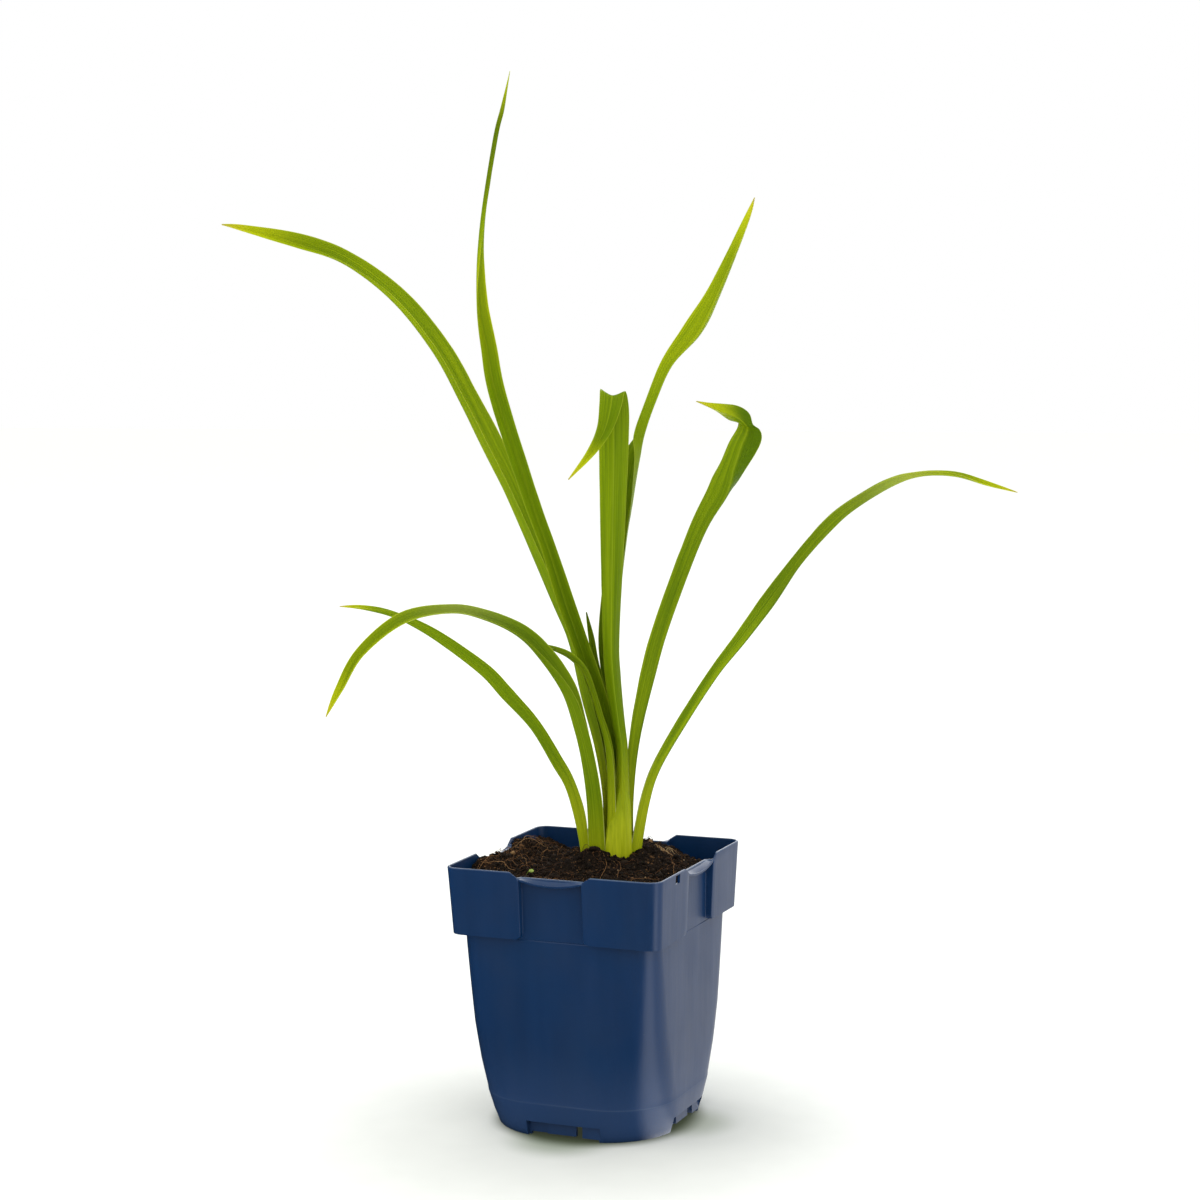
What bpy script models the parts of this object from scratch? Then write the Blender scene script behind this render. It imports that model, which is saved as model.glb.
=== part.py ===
"""Potted daylily: a young plant of ten strap leaves, its crown and peat, in a square nursery pot.

The origin is the middle of the pot's base on the floor, +Z is up, and the pot's front face
looks along -Y. Sizes are in millimetres here and become metres where meshes are made.
"""

import math

import bmesh
import bpy
from mathutils import Matrix, Vector

MM = 0.001

# ---- Pot: driving dimensions -------------------------------------------------------------
POT_HEIGHT = 105.5
POT_WALL = 1.0
RIM_HALF = 45.0              # half the width across the collar at the rim
COLLAR_FOOT = 79.0           # height of the collar's lower edge
COLLAR_FOOT_HALF = 43.6
COLLAR_CORNER = 5.2          # corner radius of the collar
BODY_TOP_HALF = 41.0
RECESS_HALF_WIDTH = 13.1     # each side of the collar is set back in its middle
RECESS_TOP_HALF = 41.6       # half width across two recess panels at their top
RECESS_RIM = 103.1           # height of the rim along a recess
RECESS_CORNERS = ((0.0, 2.3), (0.3, 1.2), (1.1, 0.3), (2.3, 0.0))    # height over the foot, widening
SHOULDER = 16.4              # the rim slopes down to the recess from here
RIM_BAND = 1.5               # the rim's dips stay within this much of the top of a recess
BODY_SPREAD = 2.3            # the body's edges below a recess lie this far outside it
LIP_HEIGHT = 101.2           # lowest point of the lip that bridges a recess
LIP_THICKNESS = 0.9
LIP_SETBACK = 0.25           # a lip's front edge stays this far behind the collar's face
LIP_ROOT = 0.45              # a lip starts this far inside its panel
LIP_OVERLAP = 0.5            # and reaches this far into the collar at each end
# Height, half width and corner radius of the body, from the floor up to the collar.
BODY_PROFILE = ((0.0, 37.0, 28.5), (5.6, 38.0, 27.2), (14.0, 39.3, 25.2), (27.0, 40.1, 20.6),
                (42.0, 40.45, 15.6), (60.0, 40.75, 12.3), (COLLAR_FOOT - 0.1, BODY_TOP_HALF, 9.4))

# ---- Pot: feet and drainage --------------------------------------------------------------
FLOOR_TOP = 6.6
UNDERSIDE_CORNER = 27.0
ARCH_HEIGHT = 5.6            # the skirt is cut away to this height in the middle of each side
ARCH_START = -14.5
ARCH_END = 16.4
RIB_FRONT = 35.6             # outer face of the rib behind an arch
RIB_BACK = 34.0
RIB_GAP = (5.6, 8.6)
STEP_FRONT = 36.4            # past the gap the skirt is only set back, as far as this
RIB_LIFT = 1.2               # ribs stop this far above the floor, so only the corners stand on it
RIB_INSET = 0.8              # of the trim from each end of an arch
DRAIN_SLOT = (9.0, 3.4)
DRAIN_SLOT_OFFSET = 9.0      # two slots on each side, left and right of its middle
DRAIN_RADIUS = 26.0
LABEL_SLIT = (4.4, 3.4)      # width and height of the slit for a plant label
LABEL_SLIT_AT = (-25.2, 103.2)

# ---- Peat and crown ----------------------------------------------------------------------
CLEARANCE = 0.3              # between pieces that touch or rest on each other
CROWN_CENTRE = (6.4, 0.0)    # along the fan, toward its front
CROWN_RADII = (14.6, 6.6)
CROWN_TOP = 105.5
CROWN_FOOT = 92.0
CROWN_TAPER = 0.75
SOIL_LEVEL = 101.6
SOIL_MOUND = (17.0, 4.6)     # radius and height of the peat drawn up round the crown
# Other rises and hollows of the peat: middle, radius, height.
SOIL_WAVES = (((-24.0, -6.0), 16.0, 2.4), ((-34.0, 17.0), 11.0, 3.6), ((40.0, 32.0), 24.0, -8.5),
              ((-42.0, -40.0), 13.0, -6.0))
SOIL_WALL_HEIGHT = 93.0      # the outline of the collar's inside is taken here
SOIL_EDGE = (38.6, 10.0)     # half width and corner radius inside the recesses
SEEDLING_AT = (-16.0, -31.0)
# Sideways, up, half width and half thickness along the seedling, from its foot to its leaf's tip.
SEEDLING = ((0.0, 0.0, 0.4, 0.4), (0.2, 1.0, 0.35, 0.35), (0.9, 1.9, 0.35, 0.3), (1.9, 2.3, 0.5, 0.25),
            (2.6, 2.45, 1.0, 0.25), (3.5, 2.6, 1.25, 0.25), (4.3, 2.7, 1.0, 0.25), (4.8, 2.75, 0.4, 0.2))

# ---- Fan of leaves -----------------------------------------------------------------------
FAN_TURN = math.radians(23.3)    # the fan's plane, turned from the pot's front
LEAF_THICKNESS = 1.0
LEAF_BULGE = 0.05            # each half blade bows outward by this share of its width
TIP_BLADE = 0.35             # half blade left at a tip
SECTIONS_PER_SPAN = 2
LEAF_FOOT = CROWN_TOP + CLEARANCE

# Each row is a station along a leaf from its foot to its tip: how far it is along the fan,
# toward the front and up, then the half blade from keel to margin, the angle of each half
# blade to the leaf's middle plane, and how far the channel is turned from facing the front
# (90 is a channel that faces right, -90 left, 180 a keel that faces the front).
LEAVES = {
    "leaf_left_high": (
        (4.4, -0.4, LEAF_FOOT, 3.6, 22, 90), (4.5, -1.6, 127, 3.3, 25, 87),
        (2.0, -4.2, 147, 4.4, 30, 82), (-2.6, -7.4, 167, 6.0, 35, 76), (-7.1, -12, 189, 7.8, 42, 72),
        (-13.8, -15, 205.7, 8.4, 45, 70), (-30.4, -22, 245.4, 9.3, 50, 66),
        (-39.9, -25.6, 265, 9.6, 50, 65), (-49.5, -29, 284.3, 8.7, 50, 64),
        (-60.2, -32.5, 304, 8.1, 50, 62), (-76.2, -36, 324.3, 7.3, 50, 60),
        (-95.8, -39, 339.4, 5.6, 50, 48), (-114.8, -41, 347, 4.9, 52, 28),
        (-138.2, -43, 353.4, 1.9, 52, 15), (-147, -43, 355.2, 0.35, 52, 15)),
    "leaf_tallest": (
        (7.3, -0.5, LEAF_FOOT, 3.5, 22, 88), (7.3, -0.8, 127, 3.7, 25, 76),
        (6.4, -0.1, 147, 4.4, 29, 42), (1.8, -0.4, 167, 5.2, 38, 20), (-5.4, -1.2, 190, 4.7, 43, 10),
        (-10.7, -1, 206, 4.8, 45, 8), (-16.7, 0, 226, 4.2, 45, 8), (-23.5, 1, 246, 4.3, 46, 8),
        (-35.4, 3, 285, 4.6, 48, 15), (-38.9, 4, 304, 4.5, 48, 22), (-41.7, 4, 324, 4, 50, 50),
        (-40.5, 4.5, 350, 2.8, 62, 88), (-34.9, 6, 383, 1.9, 62, 95), (-31.6, 7, 396, 1.6, 60, 95),
        (-28.5, 8, 409.6, 0.35, 60, 95)),
    "leaf_right_high": (
        (11.3, -4.1, LEAF_FOOT, 3.6, 22, -90), (10.6, -7, 138, 4.5, 27, -80),
        (8.4, -10.5, 166, 5.6, 32, -58), (7.2, -12, 189, 7.1, 38, -45), (11.2, -14, 225, 6.9, 42, -40),
        (14.4, -15, 244, 7.1, 42, -45), (17.4, -16, 261, 6.8, 42, -62), (19.7, -17, 270, 5.2, 42, -98),
        (24.6, -18, 283, 4.7, 42, -105), (31.4, -20, 297.5, 5.1, 45, -115),
        (42.4, -22, 310.3, 6.8, 50, -135), (50.9, -24, 325.8, 4.4, 50, -145),
        (62.9, -27, 352.6, 2.2, 45, -150), (66.4, -28, 362.4, 0.35, 45, -150)),
    "leaf_folded": (
        (10.9, 4.2, LEAF_FOOT, 6.0, 36, 180), (10.8, 4.3, 128, 5.0, 25, 180),
        (10.9, 4.2, 147, 4.8, 28, 180), (9.6, 4.2, 158, 5, 31, 180), (7.8, 4.2, 175, 5.4, 35, 180),
        (7.2, 4, 192, 5.6, 36, 180), (8.3, 3, 234, 6.2, 51, 180), (9.2, 1.2, 266, 6.5, 62, 180),
        (9.3, 0.8, 280, 6.4, 68, 172), (9.0, 3.8, 286.8, 5.6, 62, 164), (8.1, 7.2, 281.5, 4.8, 64, 164),
        (5.7, 9.4, 273, 3.5, 60, 164), (0.6, 13, 264.5, 2.2, 56, 164), (-8.4, 18, 254.4, 0.35, 50, 164)),
    "leaf_hooked": (
        (13.4, -0.4, LEAF_FOOT, 3.4, 22, -92), (13.8, -0.6, 128, 3.4, 22, -96),
        (16.2, -0.6, 151, 4.5, 26, -105), (22.1, -0.5, 177, 6.2, 30, -110),
        (28.4, -1, 198, 6.5, 32, -110), (41.9, -4, 231.5, 6.8, 38, -118), (51.4, -6, 247, 8, 48, -135),
        (59.8, -7.4, 262, 7, 62, -150), (63.2, -7.2, 268.6, 5.6, 74, -155),
        (63.0, -4.4, 272.4, 4.8, 80, -156), (59.6, -1, 275.6, 4.6, 74, -152),
        (55, 3.2, 278, 3.9, 62, -150), (48.8, 7.5, 280.2, 2.8, 52, -160),
        (40.8, 11, 283.4, 0.35, 45, -160)),
    "leaf_right_arch": (
        (16.4, -0.4, LEAF_FOOT, 3.8, 24, -90), (19.8, -0.8, 126, 4.3, 25, -90),
        (24.7, -1, 140, 4.2, 26, -92), (35.9, -1.8, 159, 4.7, 28, -95), (48, -2.6, 177, 5.0, 32, -98),
        (58.4, -3.4, 190, 5.8, 34, -100), (69.7, -4.2, 205, 6.2, 36, -100),
        (80.7, -5, 220, 5.6, 36, -98), (92.7, -5.7, 233.5, 6.2, 36, -95),
        (102.5, -6.2, 241.5, 5.4, 38, -92), (117.5, -7, 250, 4.8, 42, -90),
        (129.5, -7.6, 253.2, 3.1, 48, -88), (143, -8, 252.8, 2.6, 48, -75),
        (156, -8.5, 248.7, 1.9, 50, -50), (167.7, -8.5, 245.4, 0.35, 50, -50)),
    "leaf_left_arch": (
        (-0.3, 2.5, LEAF_FOOT, 5.6, 26, 85), (-0.6, 3.8, 127, 6.2, 29, 58),
        (-2.8, 5.5, 145, 5.7, 31, 48), (-5.8, 7.5, 159, 5.5, 34, 46), (-10, 9.5, 172, 6.1, 38, 48),
        (-18.5, 12, 185.2, 5.9, 42, 55), (-27.8, 15, 195, 5, 44, 60), (-40.4, 18.5, 201.7, 4, 44, 65),
        (-54, 22.5, 205.1, 3.4, 45, 68), (-71.8, 28, 202.4, 4.1, 48, 70),
        (-87.5, 33, 190.6, 3.4, 48, 72), (-95.6, 36, 177.2, 2.9, 45, 75),
        (-101.2, 38.5, 167, 0.35, 45, 75)),
    "leaf_left_low": (
        (-4.4, 0.0, LEAF_FOOT, 3.4, 22, 88), (-6.2, -0.7, 120, 4.9, 25, 82),
        (-10, -1.8, 132.5, 4.7, 28, 78), (-15.1, -3, 141.4, 5, 32, 73), (-23.7, -4, 155.8, 4.7, 36, 70),
        (-34.9, -5, 168.4, 5.6, 40, 68), (-43.6, -6, 177.9, 5.3, 41, 68), (-60, -8, 190.3, 4.7, 42, 68),
        (-72.3, -10, 197.5, 3.9, 44, 66), (-80.5, -11, 200.7, 3.3, 46, 62),
        (-91, -12, 202.8, 2.1, 48, 55), (-100.3, -13, 203.4, 0.35, 48, 55)),
    "leaf_young_front": (
        (6.2, 3.5, LEAF_FOOT, 2.0, 30, 90), (7.3, 3.9, 127, 2.6, 30, 86), (6.1, 5.2, 147, 2.5, 30, 80),
        (2.0, 5.5, 162, 2.6, 32, 75), (-2.8, 5.3, 177.5, 2.4, 35, 72), (-8.4, 5.2, 184, 2.7, 38, 70),
        (-14, 4.8, 187, 2.2, 42, 70), (-22.5, 4, 190, 0.35, 45, 70)),
    "leaf_young_back": (
        (8.2, -4.0, LEAF_FOOT, 1.8, 30, 0), (7.3, -6.6, 140, 2.0, 34, 0), (4.5, -7.4, 166, 2.1, 38, 0),
        (1.1, -7.4, 180, 2.0, 40, 0), (-0.6, -7.4, 190.5, 1.7, 45, 0), (-2.4, -7.4, 200.5, 0.35, 48, 0)),
}

# ---- Materials: colour, roughness, metallic ----------------------------------------------
POT_BLUE = ((0.012, 0.045, 0.13, 1.0), 0.42, 0.0)
PEAT_BROWN = ((0.022, 0.013, 0.008, 1.0), 0.95, 0.0)
CROWN_PALE = ((0.42, 0.48, 0.05, 1.0), 0.5, 0.0)
LEAF_GREEN = ((0.16, 0.29, 0.012, 1.0), 0.42, 0.0)
SEEDLING_GREEN = ((0.33, 0.45, 0.03, 1.0), 0.5, 0.0)


def clear_scene():
    """Remove every object that the startup file brings."""
    for item in list(bpy.data.objects):
        bpy.data.objects.remove(item, do_unlink=True)


def make_collection(name):
    group = bpy.data.collections.new(name)
    bpy.context.scene.collection.children.link(group)
    return group


def make_material(name, colour, roughness, metallic):
    material = bpy.data.materials.new(name)
    material.use_nodes = True
    shader = material.node_tree.nodes["Principled BSDF"]
    shader.inputs["Base Color"].default_value = colour
    shader.inputs["Roughness"].default_value = roughness
    shader.inputs["Metallic"].default_value = metallic
    return material


def add_object(name, mesh, group, material=None):
    item = bpy.data.objects.new(name, mesh)
    group.objects.link(item)
    if material is not None:
        mesh.materials.append(material)
    return item


def add_loft(name, rings, group, material=None, smooth_angle=35.0, fan_caps=True):
    """Skin a list of rings of the same number of points into one closed body.

    The ends are closed with fans round their middles, or filled when their outline is hollow.
    """
    shape = bmesh.new()
    loops = [[shape.verts.new(Vector(point) * MM) for point in ring] for ring in rings]
    count = len(loops[0])
    for lower, upper in zip(loops, loops[1:]):
        for i in range(count):
            j = (i + 1) % count
            shape.faces.new((lower[i], lower[j], upper[j], upper[i]))
    for loop in (loops[0], loops[-1]):
        if not fan_caps:
            shape.faces.new(loop)
            continue
        middle = shape.verts.new(sum((vert.co for vert in loop), Vector()) / count)
        for i in range(count):
            shape.faces.new((loop[i], loop[(i + 1) % count], middle))
    bmesh.ops.recalc_face_normals(shape, faces=shape.faces)
    bmesh.ops.triangulate(shape, faces=[face for face in shape.faces if len(face.verts) > 3])
    mesh = bpy.data.meshes.new(name)
    shape.to_mesh(mesh)
    shape.free()
    mesh.shade_smooth()
    mesh.set_sharp_from_angle(angle=math.radians(smooth_angle))
    return add_object(name, mesh, group, material)


def add_boxes(name, boxes, group):
    """One cutter made of separate boxes, each (centre, size, turn about Z)."""
    shape = bmesh.new()
    for centre, size, turn in boxes:
        place = Matrix.Rotation(turn, 4, "Z") @ Matrix.Translation(Vector(centre) * MM)
        scale = Matrix.Diagonal((size[0] * MM, size[1] * MM, size[2] * MM, 1.0))
        bmesh.ops.create_cube(shape, size=1.0, matrix=place @ scale)
    mesh = bpy.data.meshes.new(name)
    shape.to_mesh(mesh)
    shape.free()
    return make_cutter(add_object(name, mesh, group))


def add_prisms(name, outline, rise, turns, group):
    """One cutter made of the same upright prism at several turns about Z."""
    shape = bmesh.new()
    for turn in turns:
        rotate = Matrix.Rotation(turn, 3, "Z")
        loops = [[shape.verts.new(rotate @ Vector((x, y, z)) * MM) for x, y in outline] for z in rise]
        count = len(outline)
        for i in range(count):
            j = (i + 1) % count
            shape.faces.new((loops[0][i], loops[0][j], loops[1][j], loops[1][i]))
        shape.faces.new(loops[0])
        shape.faces.new(loops[1])
    bmesh.ops.recalc_face_normals(shape, faces=shape.faces)
    mesh = bpy.data.meshes.new(name)
    shape.to_mesh(mesh)
    shape.free()
    return make_cutter(add_object(name, mesh, group))


def make_cutter(item):
    item.hide_render = True
    item.display_type = "WIRE"
    return item


def add_boolean(target, cutter, operation):
    modifier = target.modifiers.new(cutter.name, "BOOLEAN")
    modifier.object = cutter
    modifier.operation = operation
    modifier.solver = "EXACT"


# ---- Pot ---------------------------------------------------------------------------------
CORNER_STEPS = 6


def blend(rows, height, column):
    """Read one column of a table of heights, straight between its rows."""
    if height <= rows[0][0]:
        return rows[0][column]
    for low, high in zip(rows, rows[1:]):
        if height <= high[0]:
            share = (height - low[0]) / (high[0] - low[0])
            return low[column] + share * (high[column] - low[column])
    return rows[-1][column]


def collar_half(height):
    share = (height - COLLAR_FOOT) / (POT_HEIGHT - COLLAR_FOOT)
    return COLLAR_FOOT_HALF + share * (RIM_HALF - COLLAR_FOOT_HALF)


def recess_half(height):
    share = (height - COLLAR_FOOT) / (RECESS_RIM - COLLAR_FOOT)
    return BODY_TOP_HALF + share * (RECESS_TOP_HALF - BODY_TOP_HALF)


def square_ring(side, half, radius):
    """A rounded square. side lists (distance along a side, half width there) for its middle."""
    flat = half - radius
    ring = []
    for quarter in range(4):
        turn = quarter * math.pi / 2
        points = [(along, -depth) for along, depth in side]
        for step in range(CORNER_STEPS + 1):
            angle = -math.pi / 2 + step * math.pi / 2 / CORNER_STEPS
            points.append((flat + radius * math.cos(angle), -flat + radius * math.sin(angle)))
        for x, y in points:
            ring.append((x * math.cos(turn) - y * math.sin(turn), x * math.sin(turn) + y * math.cos(turn)))
    return ring


def side_stops(edge, shoulder):
    """Distances along a side: shoulders, the two ends of each recess step, and the panel."""
    middle = edge / 2
    return (-shoulder, -edge, -edge, -middle, 0.0, middle, edge, edge, shoulder)


def plain_ring(half, radius, edge, shoulder):
    """A rounded square with the stops of a recessed one, all of them on its sides."""
    stops = list(side_stops(edge, shoulder))
    # The doubled stops are kept a little apart here, so that no face is lost.
    stops[2] += 0.4
    stops[6] -= 0.4
    return square_ring([(stop, half) for stop in stops], half, radius)


def body_ring(height, inset=0.0):
    half = blend(BODY_PROFILE, height, 1) - inset
    radius = blend(BODY_PROFILE, height, 2) - inset
    spread = (half - radius) / (BODY_TOP_HALF - BODY_PROFILE[-1][2])
    edge = (RECESS_HALF_WIDTH + BODY_SPREAD) * spread
    shoulder = (SHOULDER + BODY_SPREAD) * spread
    return [(x, y, height) for x, y in plain_ring(half, radius, edge, shoulder)]


def collar_ring(height, inset=0.0, widen=0.0, heights=None):
    """Ring through the collar. heights gives another height for each stop along a side."""
    half = collar_half(height) - inset
    panel = recess_half(height) - inset
    edge = RECESS_HALF_WIDTH + inset + widen
    stops = side_stops(edge, SHOULDER + inset + widen * 0.6)
    depths = (half, half, panel, panel, panel, panel, panel, half, half)
    ring = square_ring(list(zip(stops, depths)), half, COLLAR_CORNER - inset)
    per_side = len(stops) + CORNER_STEPS + 1
    levels = list(heights or [height] * len(stops)) + [height] * (CORNER_STEPS + 1)
    return [(x, y, levels[i % per_side]) for i, (x, y) in enumerate(ring)]


def rim_levels():
    low = RECESS_RIM
    step = RECESS_RIM + 0.2
    return (POT_HEIGHT, step, low, low, low, low, low, step, POT_HEIGHT)


def add_lips(group):
    """The sloping lip across the top of each recess, one solid per side, joined to the pot."""
    outer = RIM_HALF - LIP_SETBACK
    inner = RECESS_TOP_HALF - LIP_ROOT
    half_span = RECESS_HALF_WIDTH + LIP_OVERLAP
    lips = []
    for quarter in range(4):
        sections = []
        for step in range(9):
            along = half_span * (step / 4 - 1)
            dip = (RECESS_RIM - LIP_HEIGHT) * (1 - (along / half_span) ** 2)
            profile = ((inner, RECESS_RIM - 0.15), (inner, RECESS_RIM - 1.3),
                       (outer, RECESS_RIM - LIP_THICKNESS - dip), (outer, RECESS_RIM - dip))
            turn = Matrix.Rotation(quarter * math.pi / 2, 3, "Z")
            sections.append([turn @ Vector((along, -depth, height)) for depth, height in profile])
        lip = add_loft("recess_lip_%d" % quarter, sections, group)
        lips.append(make_cutter(lip))
    return lips


def underside_ring(height):
    """The hollow under the floor, inside the ring of feet and ribs."""
    side = [(stop, RIB_BACK) for stop in (-6.0, 0.0, 6.0)]
    return [(x, y, height) for x, y in square_ring(side, RIB_BACK, UNDERSIDE_CORNER)]


def make_pot(group, cutters, material):
    outer = [body_ring(row[0]) for row in BODY_PROFILE]
    outer += [collar_ring(COLLAR_FOOT + rise, widen=widen) for rise, widen in RECESS_CORNERS]
    outer.append(collar_ring(RECESS_RIM - RIM_BAND))
    outer.append(collar_ring(POT_HEIGHT, heights=rim_levels()))
    inner = [collar_ring(POT_HEIGHT, POT_WALL, heights=rim_levels())]
    inner.append(collar_ring(RECESS_RIM - RIM_BAND, POT_WALL))
    inner.append(collar_ring(COLLAR_FOOT + POT_WALL, POT_WALL))
    inner.append(body_ring(COLLAR_FOOT + POT_WALL - 0.1, POT_WALL))
    inner += [body_ring(row[0], POT_WALL) for row in reversed(BODY_PROFILE[2:-1])]
    inner.append(body_ring(FLOOR_TOP, POT_WALL))
    pot = add_loft("pot", outer + inner, group, material)

    for lip in add_lips(cutters):
        add_boolean(pot, lip, "UNION")
    hollow = make_cutter(add_loft("underside", [underside_ring(-2.0), underside_ring(ARCH_HEIGHT)], cutters))
    add_boolean(pot, hollow, "DIFFERENCE")
    quarters = [quarter * math.pi / 2 for quarter in range(4)]
    beyond = 44.0
    arch = ((ARCH_START, -beyond), (ARCH_START, -RIB_FRONT), (RIB_GAP[0], -RIB_FRONT),
            (RIB_GAP[0], -RIB_BACK + 2.0), (RIB_GAP[1], -RIB_BACK + 2.0), (RIB_GAP[1], -STEP_FRONT),
            (ARCH_END, -STEP_FRONT), (ARCH_END, -beyond))
    add_boolean(pot, add_prisms("arches", arch, (-3.0, ARCH_HEIGHT - 0.1), quarters, cutters), "DIFFERENCE")
    rib_span = (ARCH_START + RIB_INSET, ARCH_END - RIB_INSET)
    rib_depth = (RIB_BACK - 2.0, STEP_FRONT + 1.0)
    trims = [slot_box(rib_span, rib_depth, (-1.5, RIB_LIFT), turn) for turn in quarters]
    add_boolean(pot, add_boxes("rib_trims", trims, cutters), "DIFFERENCE")
    slots = []
    for turn in quarters:
        for middle in (-DRAIN_SLOT_OFFSET, DRAIN_SLOT_OFFSET):
            span = (middle - DRAIN_SLOT[0] / 2, middle + DRAIN_SLOT[0] / 2)
            depth = (DRAIN_RADIUS - DRAIN_SLOT[1] / 2, DRAIN_RADIUS + DRAIN_SLOT[1] / 2)
            slots.append(slot_box(span, depth, (4.0, 8.0), turn))
    slit_span = (LABEL_SLIT_AT[0] - LABEL_SLIT[0] / 2, LABEL_SLIT_AT[0] + LABEL_SLIT[0] / 2)
    slit_rise = (LABEL_SLIT_AT[1] - LABEL_SLIT[1] / 2, LABEL_SLIT_AT[1] + LABEL_SLIT[1] / 2)
    slots.append(slot_box(slit_span, (42.0, 47.0), slit_rise, math.pi / 2))
    add_boolean(pot, add_boxes("slots", slots, cutters), "DIFFERENCE")
    return pot


def slot_box(span, depth, rise, turn):
    """A box over a span along a side, between two distances from the middle and two heights."""
    centre = ((span[0] + span[1]) / 2, -(depth[0] + depth[1]) / 2, (rise[0] + rise[1]) / 2)
    size = (span[1] - span[0], depth[1] - depth[0], rise[1] - rise[0])
    return centre, size, turn


# ---- Peat and crown ----------------------------------------------------------------------
def fan_point(along, front, up):
    """A point of the fan: along its plane to the right, toward its front, and up."""
    x = along * math.cos(FAN_TURN) + front * math.sin(FAN_TURN)
    y = along * math.sin(FAN_TURN) - front * math.cos(FAN_TURN)
    return Vector((x, y, up))


def mound(x, y, centre, radius, height):
    distance = math.hypot(x - centre[0], y - centre[1]) / radius
    return height * math.exp(-distance * distance)


def soil_height(x, y):
    crown = fan_point(CROWN_CENTRE[0], CROWN_CENTRE[1], 0)
    level = SOIL_LEVEL + mound(x, y, crown, *SOIL_MOUND)
    for middle, radius, height in SOIL_WAVES:
        level += mound(x, y, middle, radius, height)
    return level + 0.5 * math.sin(x * 0.31 + 1.0) * math.cos(y * 0.27)


def ellipse_ring(count, radii, height):
    """Points of the crown's oval, the first one below the middle of the pot's front side."""
    ring = []
    for i in range(count):
        angle = -math.pi / 2 - 0.35 + 2 * math.pi * i / count - FAN_TURN
        along = CROWN_CENTRE[0] + radii[0] * math.cos(angle)
        front = CROWN_CENTRE[1] - radii[1] * math.sin(angle)
        ring.append(fan_point(along, front, height))
    return ring


def make_soil(group, material):
    inset = POT_WALL + CLEARANCE
    rings = [body_ring(height, inset) for height in (FLOOR_TOP + CLEARANCE, 14.0, 27.0, 42.0, 60.0)]
    ledge = COLLAR_FOOT + inset
    rings.append(body_ring(ledge - 0.1, inset))
    rings.append(collar_ring(ledge, inset))
    rings.append([(x, y, soil_height(x, y)) for x, y, z in collar_ring(SOIL_WALL_HEIGHT, inset)])
    stops = (RECESS_HALF_WIDTH + 1.9, SHOULDER + 1.8)
    edge = [(x, y, soil_height(x, y)) for x, y in plain_ring(*SOIL_EDGE, *stops)]
    rings.append(edge)
    count = len(edge)
    well_radii = (CROWN_RADII[0] + CLEARANCE, CROWN_RADII[1] + CLEARANCE)
    well = ellipse_ring(count, well_radii, 0.0)
    for share in (0.12, 0.27, 0.43, 0.6, 0.76, 0.9, 1.0):
        ring = []
        for (x, y, z), end in zip(edge, well):
            px = x + share * (end.x - x)
            py = y + share * (end.y - y)
            ring.append((px, py, soil_height(px, py)))
        rings.append(ring)
    rings.append(ellipse_ring(count, well_radii, CROWN_FOOT - CLEARANCE))
    return add_loft("soil", rings, group, material)


def make_crown(group, material):
    count = 32
    foot_radii = (CROWN_RADII[0] * CROWN_TAPER, CROWN_RADII[1] * CROWN_TAPER)
    rings = [ellipse_ring(count, foot_radii, CROWN_FOOT),
             ellipse_ring(count, CROWN_RADII, CROWN_FOOT + 3.0),
             ellipse_ring(count, CROWN_RADII, CROWN_TOP)]
    return add_loft("crown", rings, group, material)


# ---- Leaves ------------------------------------------------------------------------------
def curve_value(p0, p1, p2, p3, t):
    """Catmull-Rom value between p1 and p2."""
    return 0.5 * (2 * p1 + (p2 - p0) * t + (2 * p0 - 5 * p1 + 4 * p2 - p3) * t * t
                  + (3 * p1 - p0 - 3 * p2 + p3) * t ** 3)


def smooth_rows(rows, per_span):
    """Sample a table of stations on a smooth curve, per_span samples to each span."""
    samples = []
    last = len(rows) - 1
    for i in range(last):
        before = rows[max(i - 1, 0)]
        after = rows[min(i + 2, last)]
        for step in range(per_span):
            t = step / per_span
            samples.append([curve_value(*column, t) for column in zip(before, rows[i], rows[i + 1], after)])
    samples.append(list(rows[-1]))
    return samples


def carried_frames(points):
    """Tangents and a front direction carried along the points without twisting."""
    tangents = []
    for i in range(len(points)):
        ahead = points[min(i + 1, len(points) - 1)]
        behind = points[max(i - 1, 0)]
        tangents.append((ahead - behind).normalized())
    tangents[0] = Vector((0.0, 0.0, 1.0))    # the foot of a leaf is level
    front = fan_point(0, 1, 0)
    frames = []
    for tangent in tangents:
        front = (front - front.dot(tangent) * tangent).normalized()
        frames.append((tangent, front))
    return frames


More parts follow.
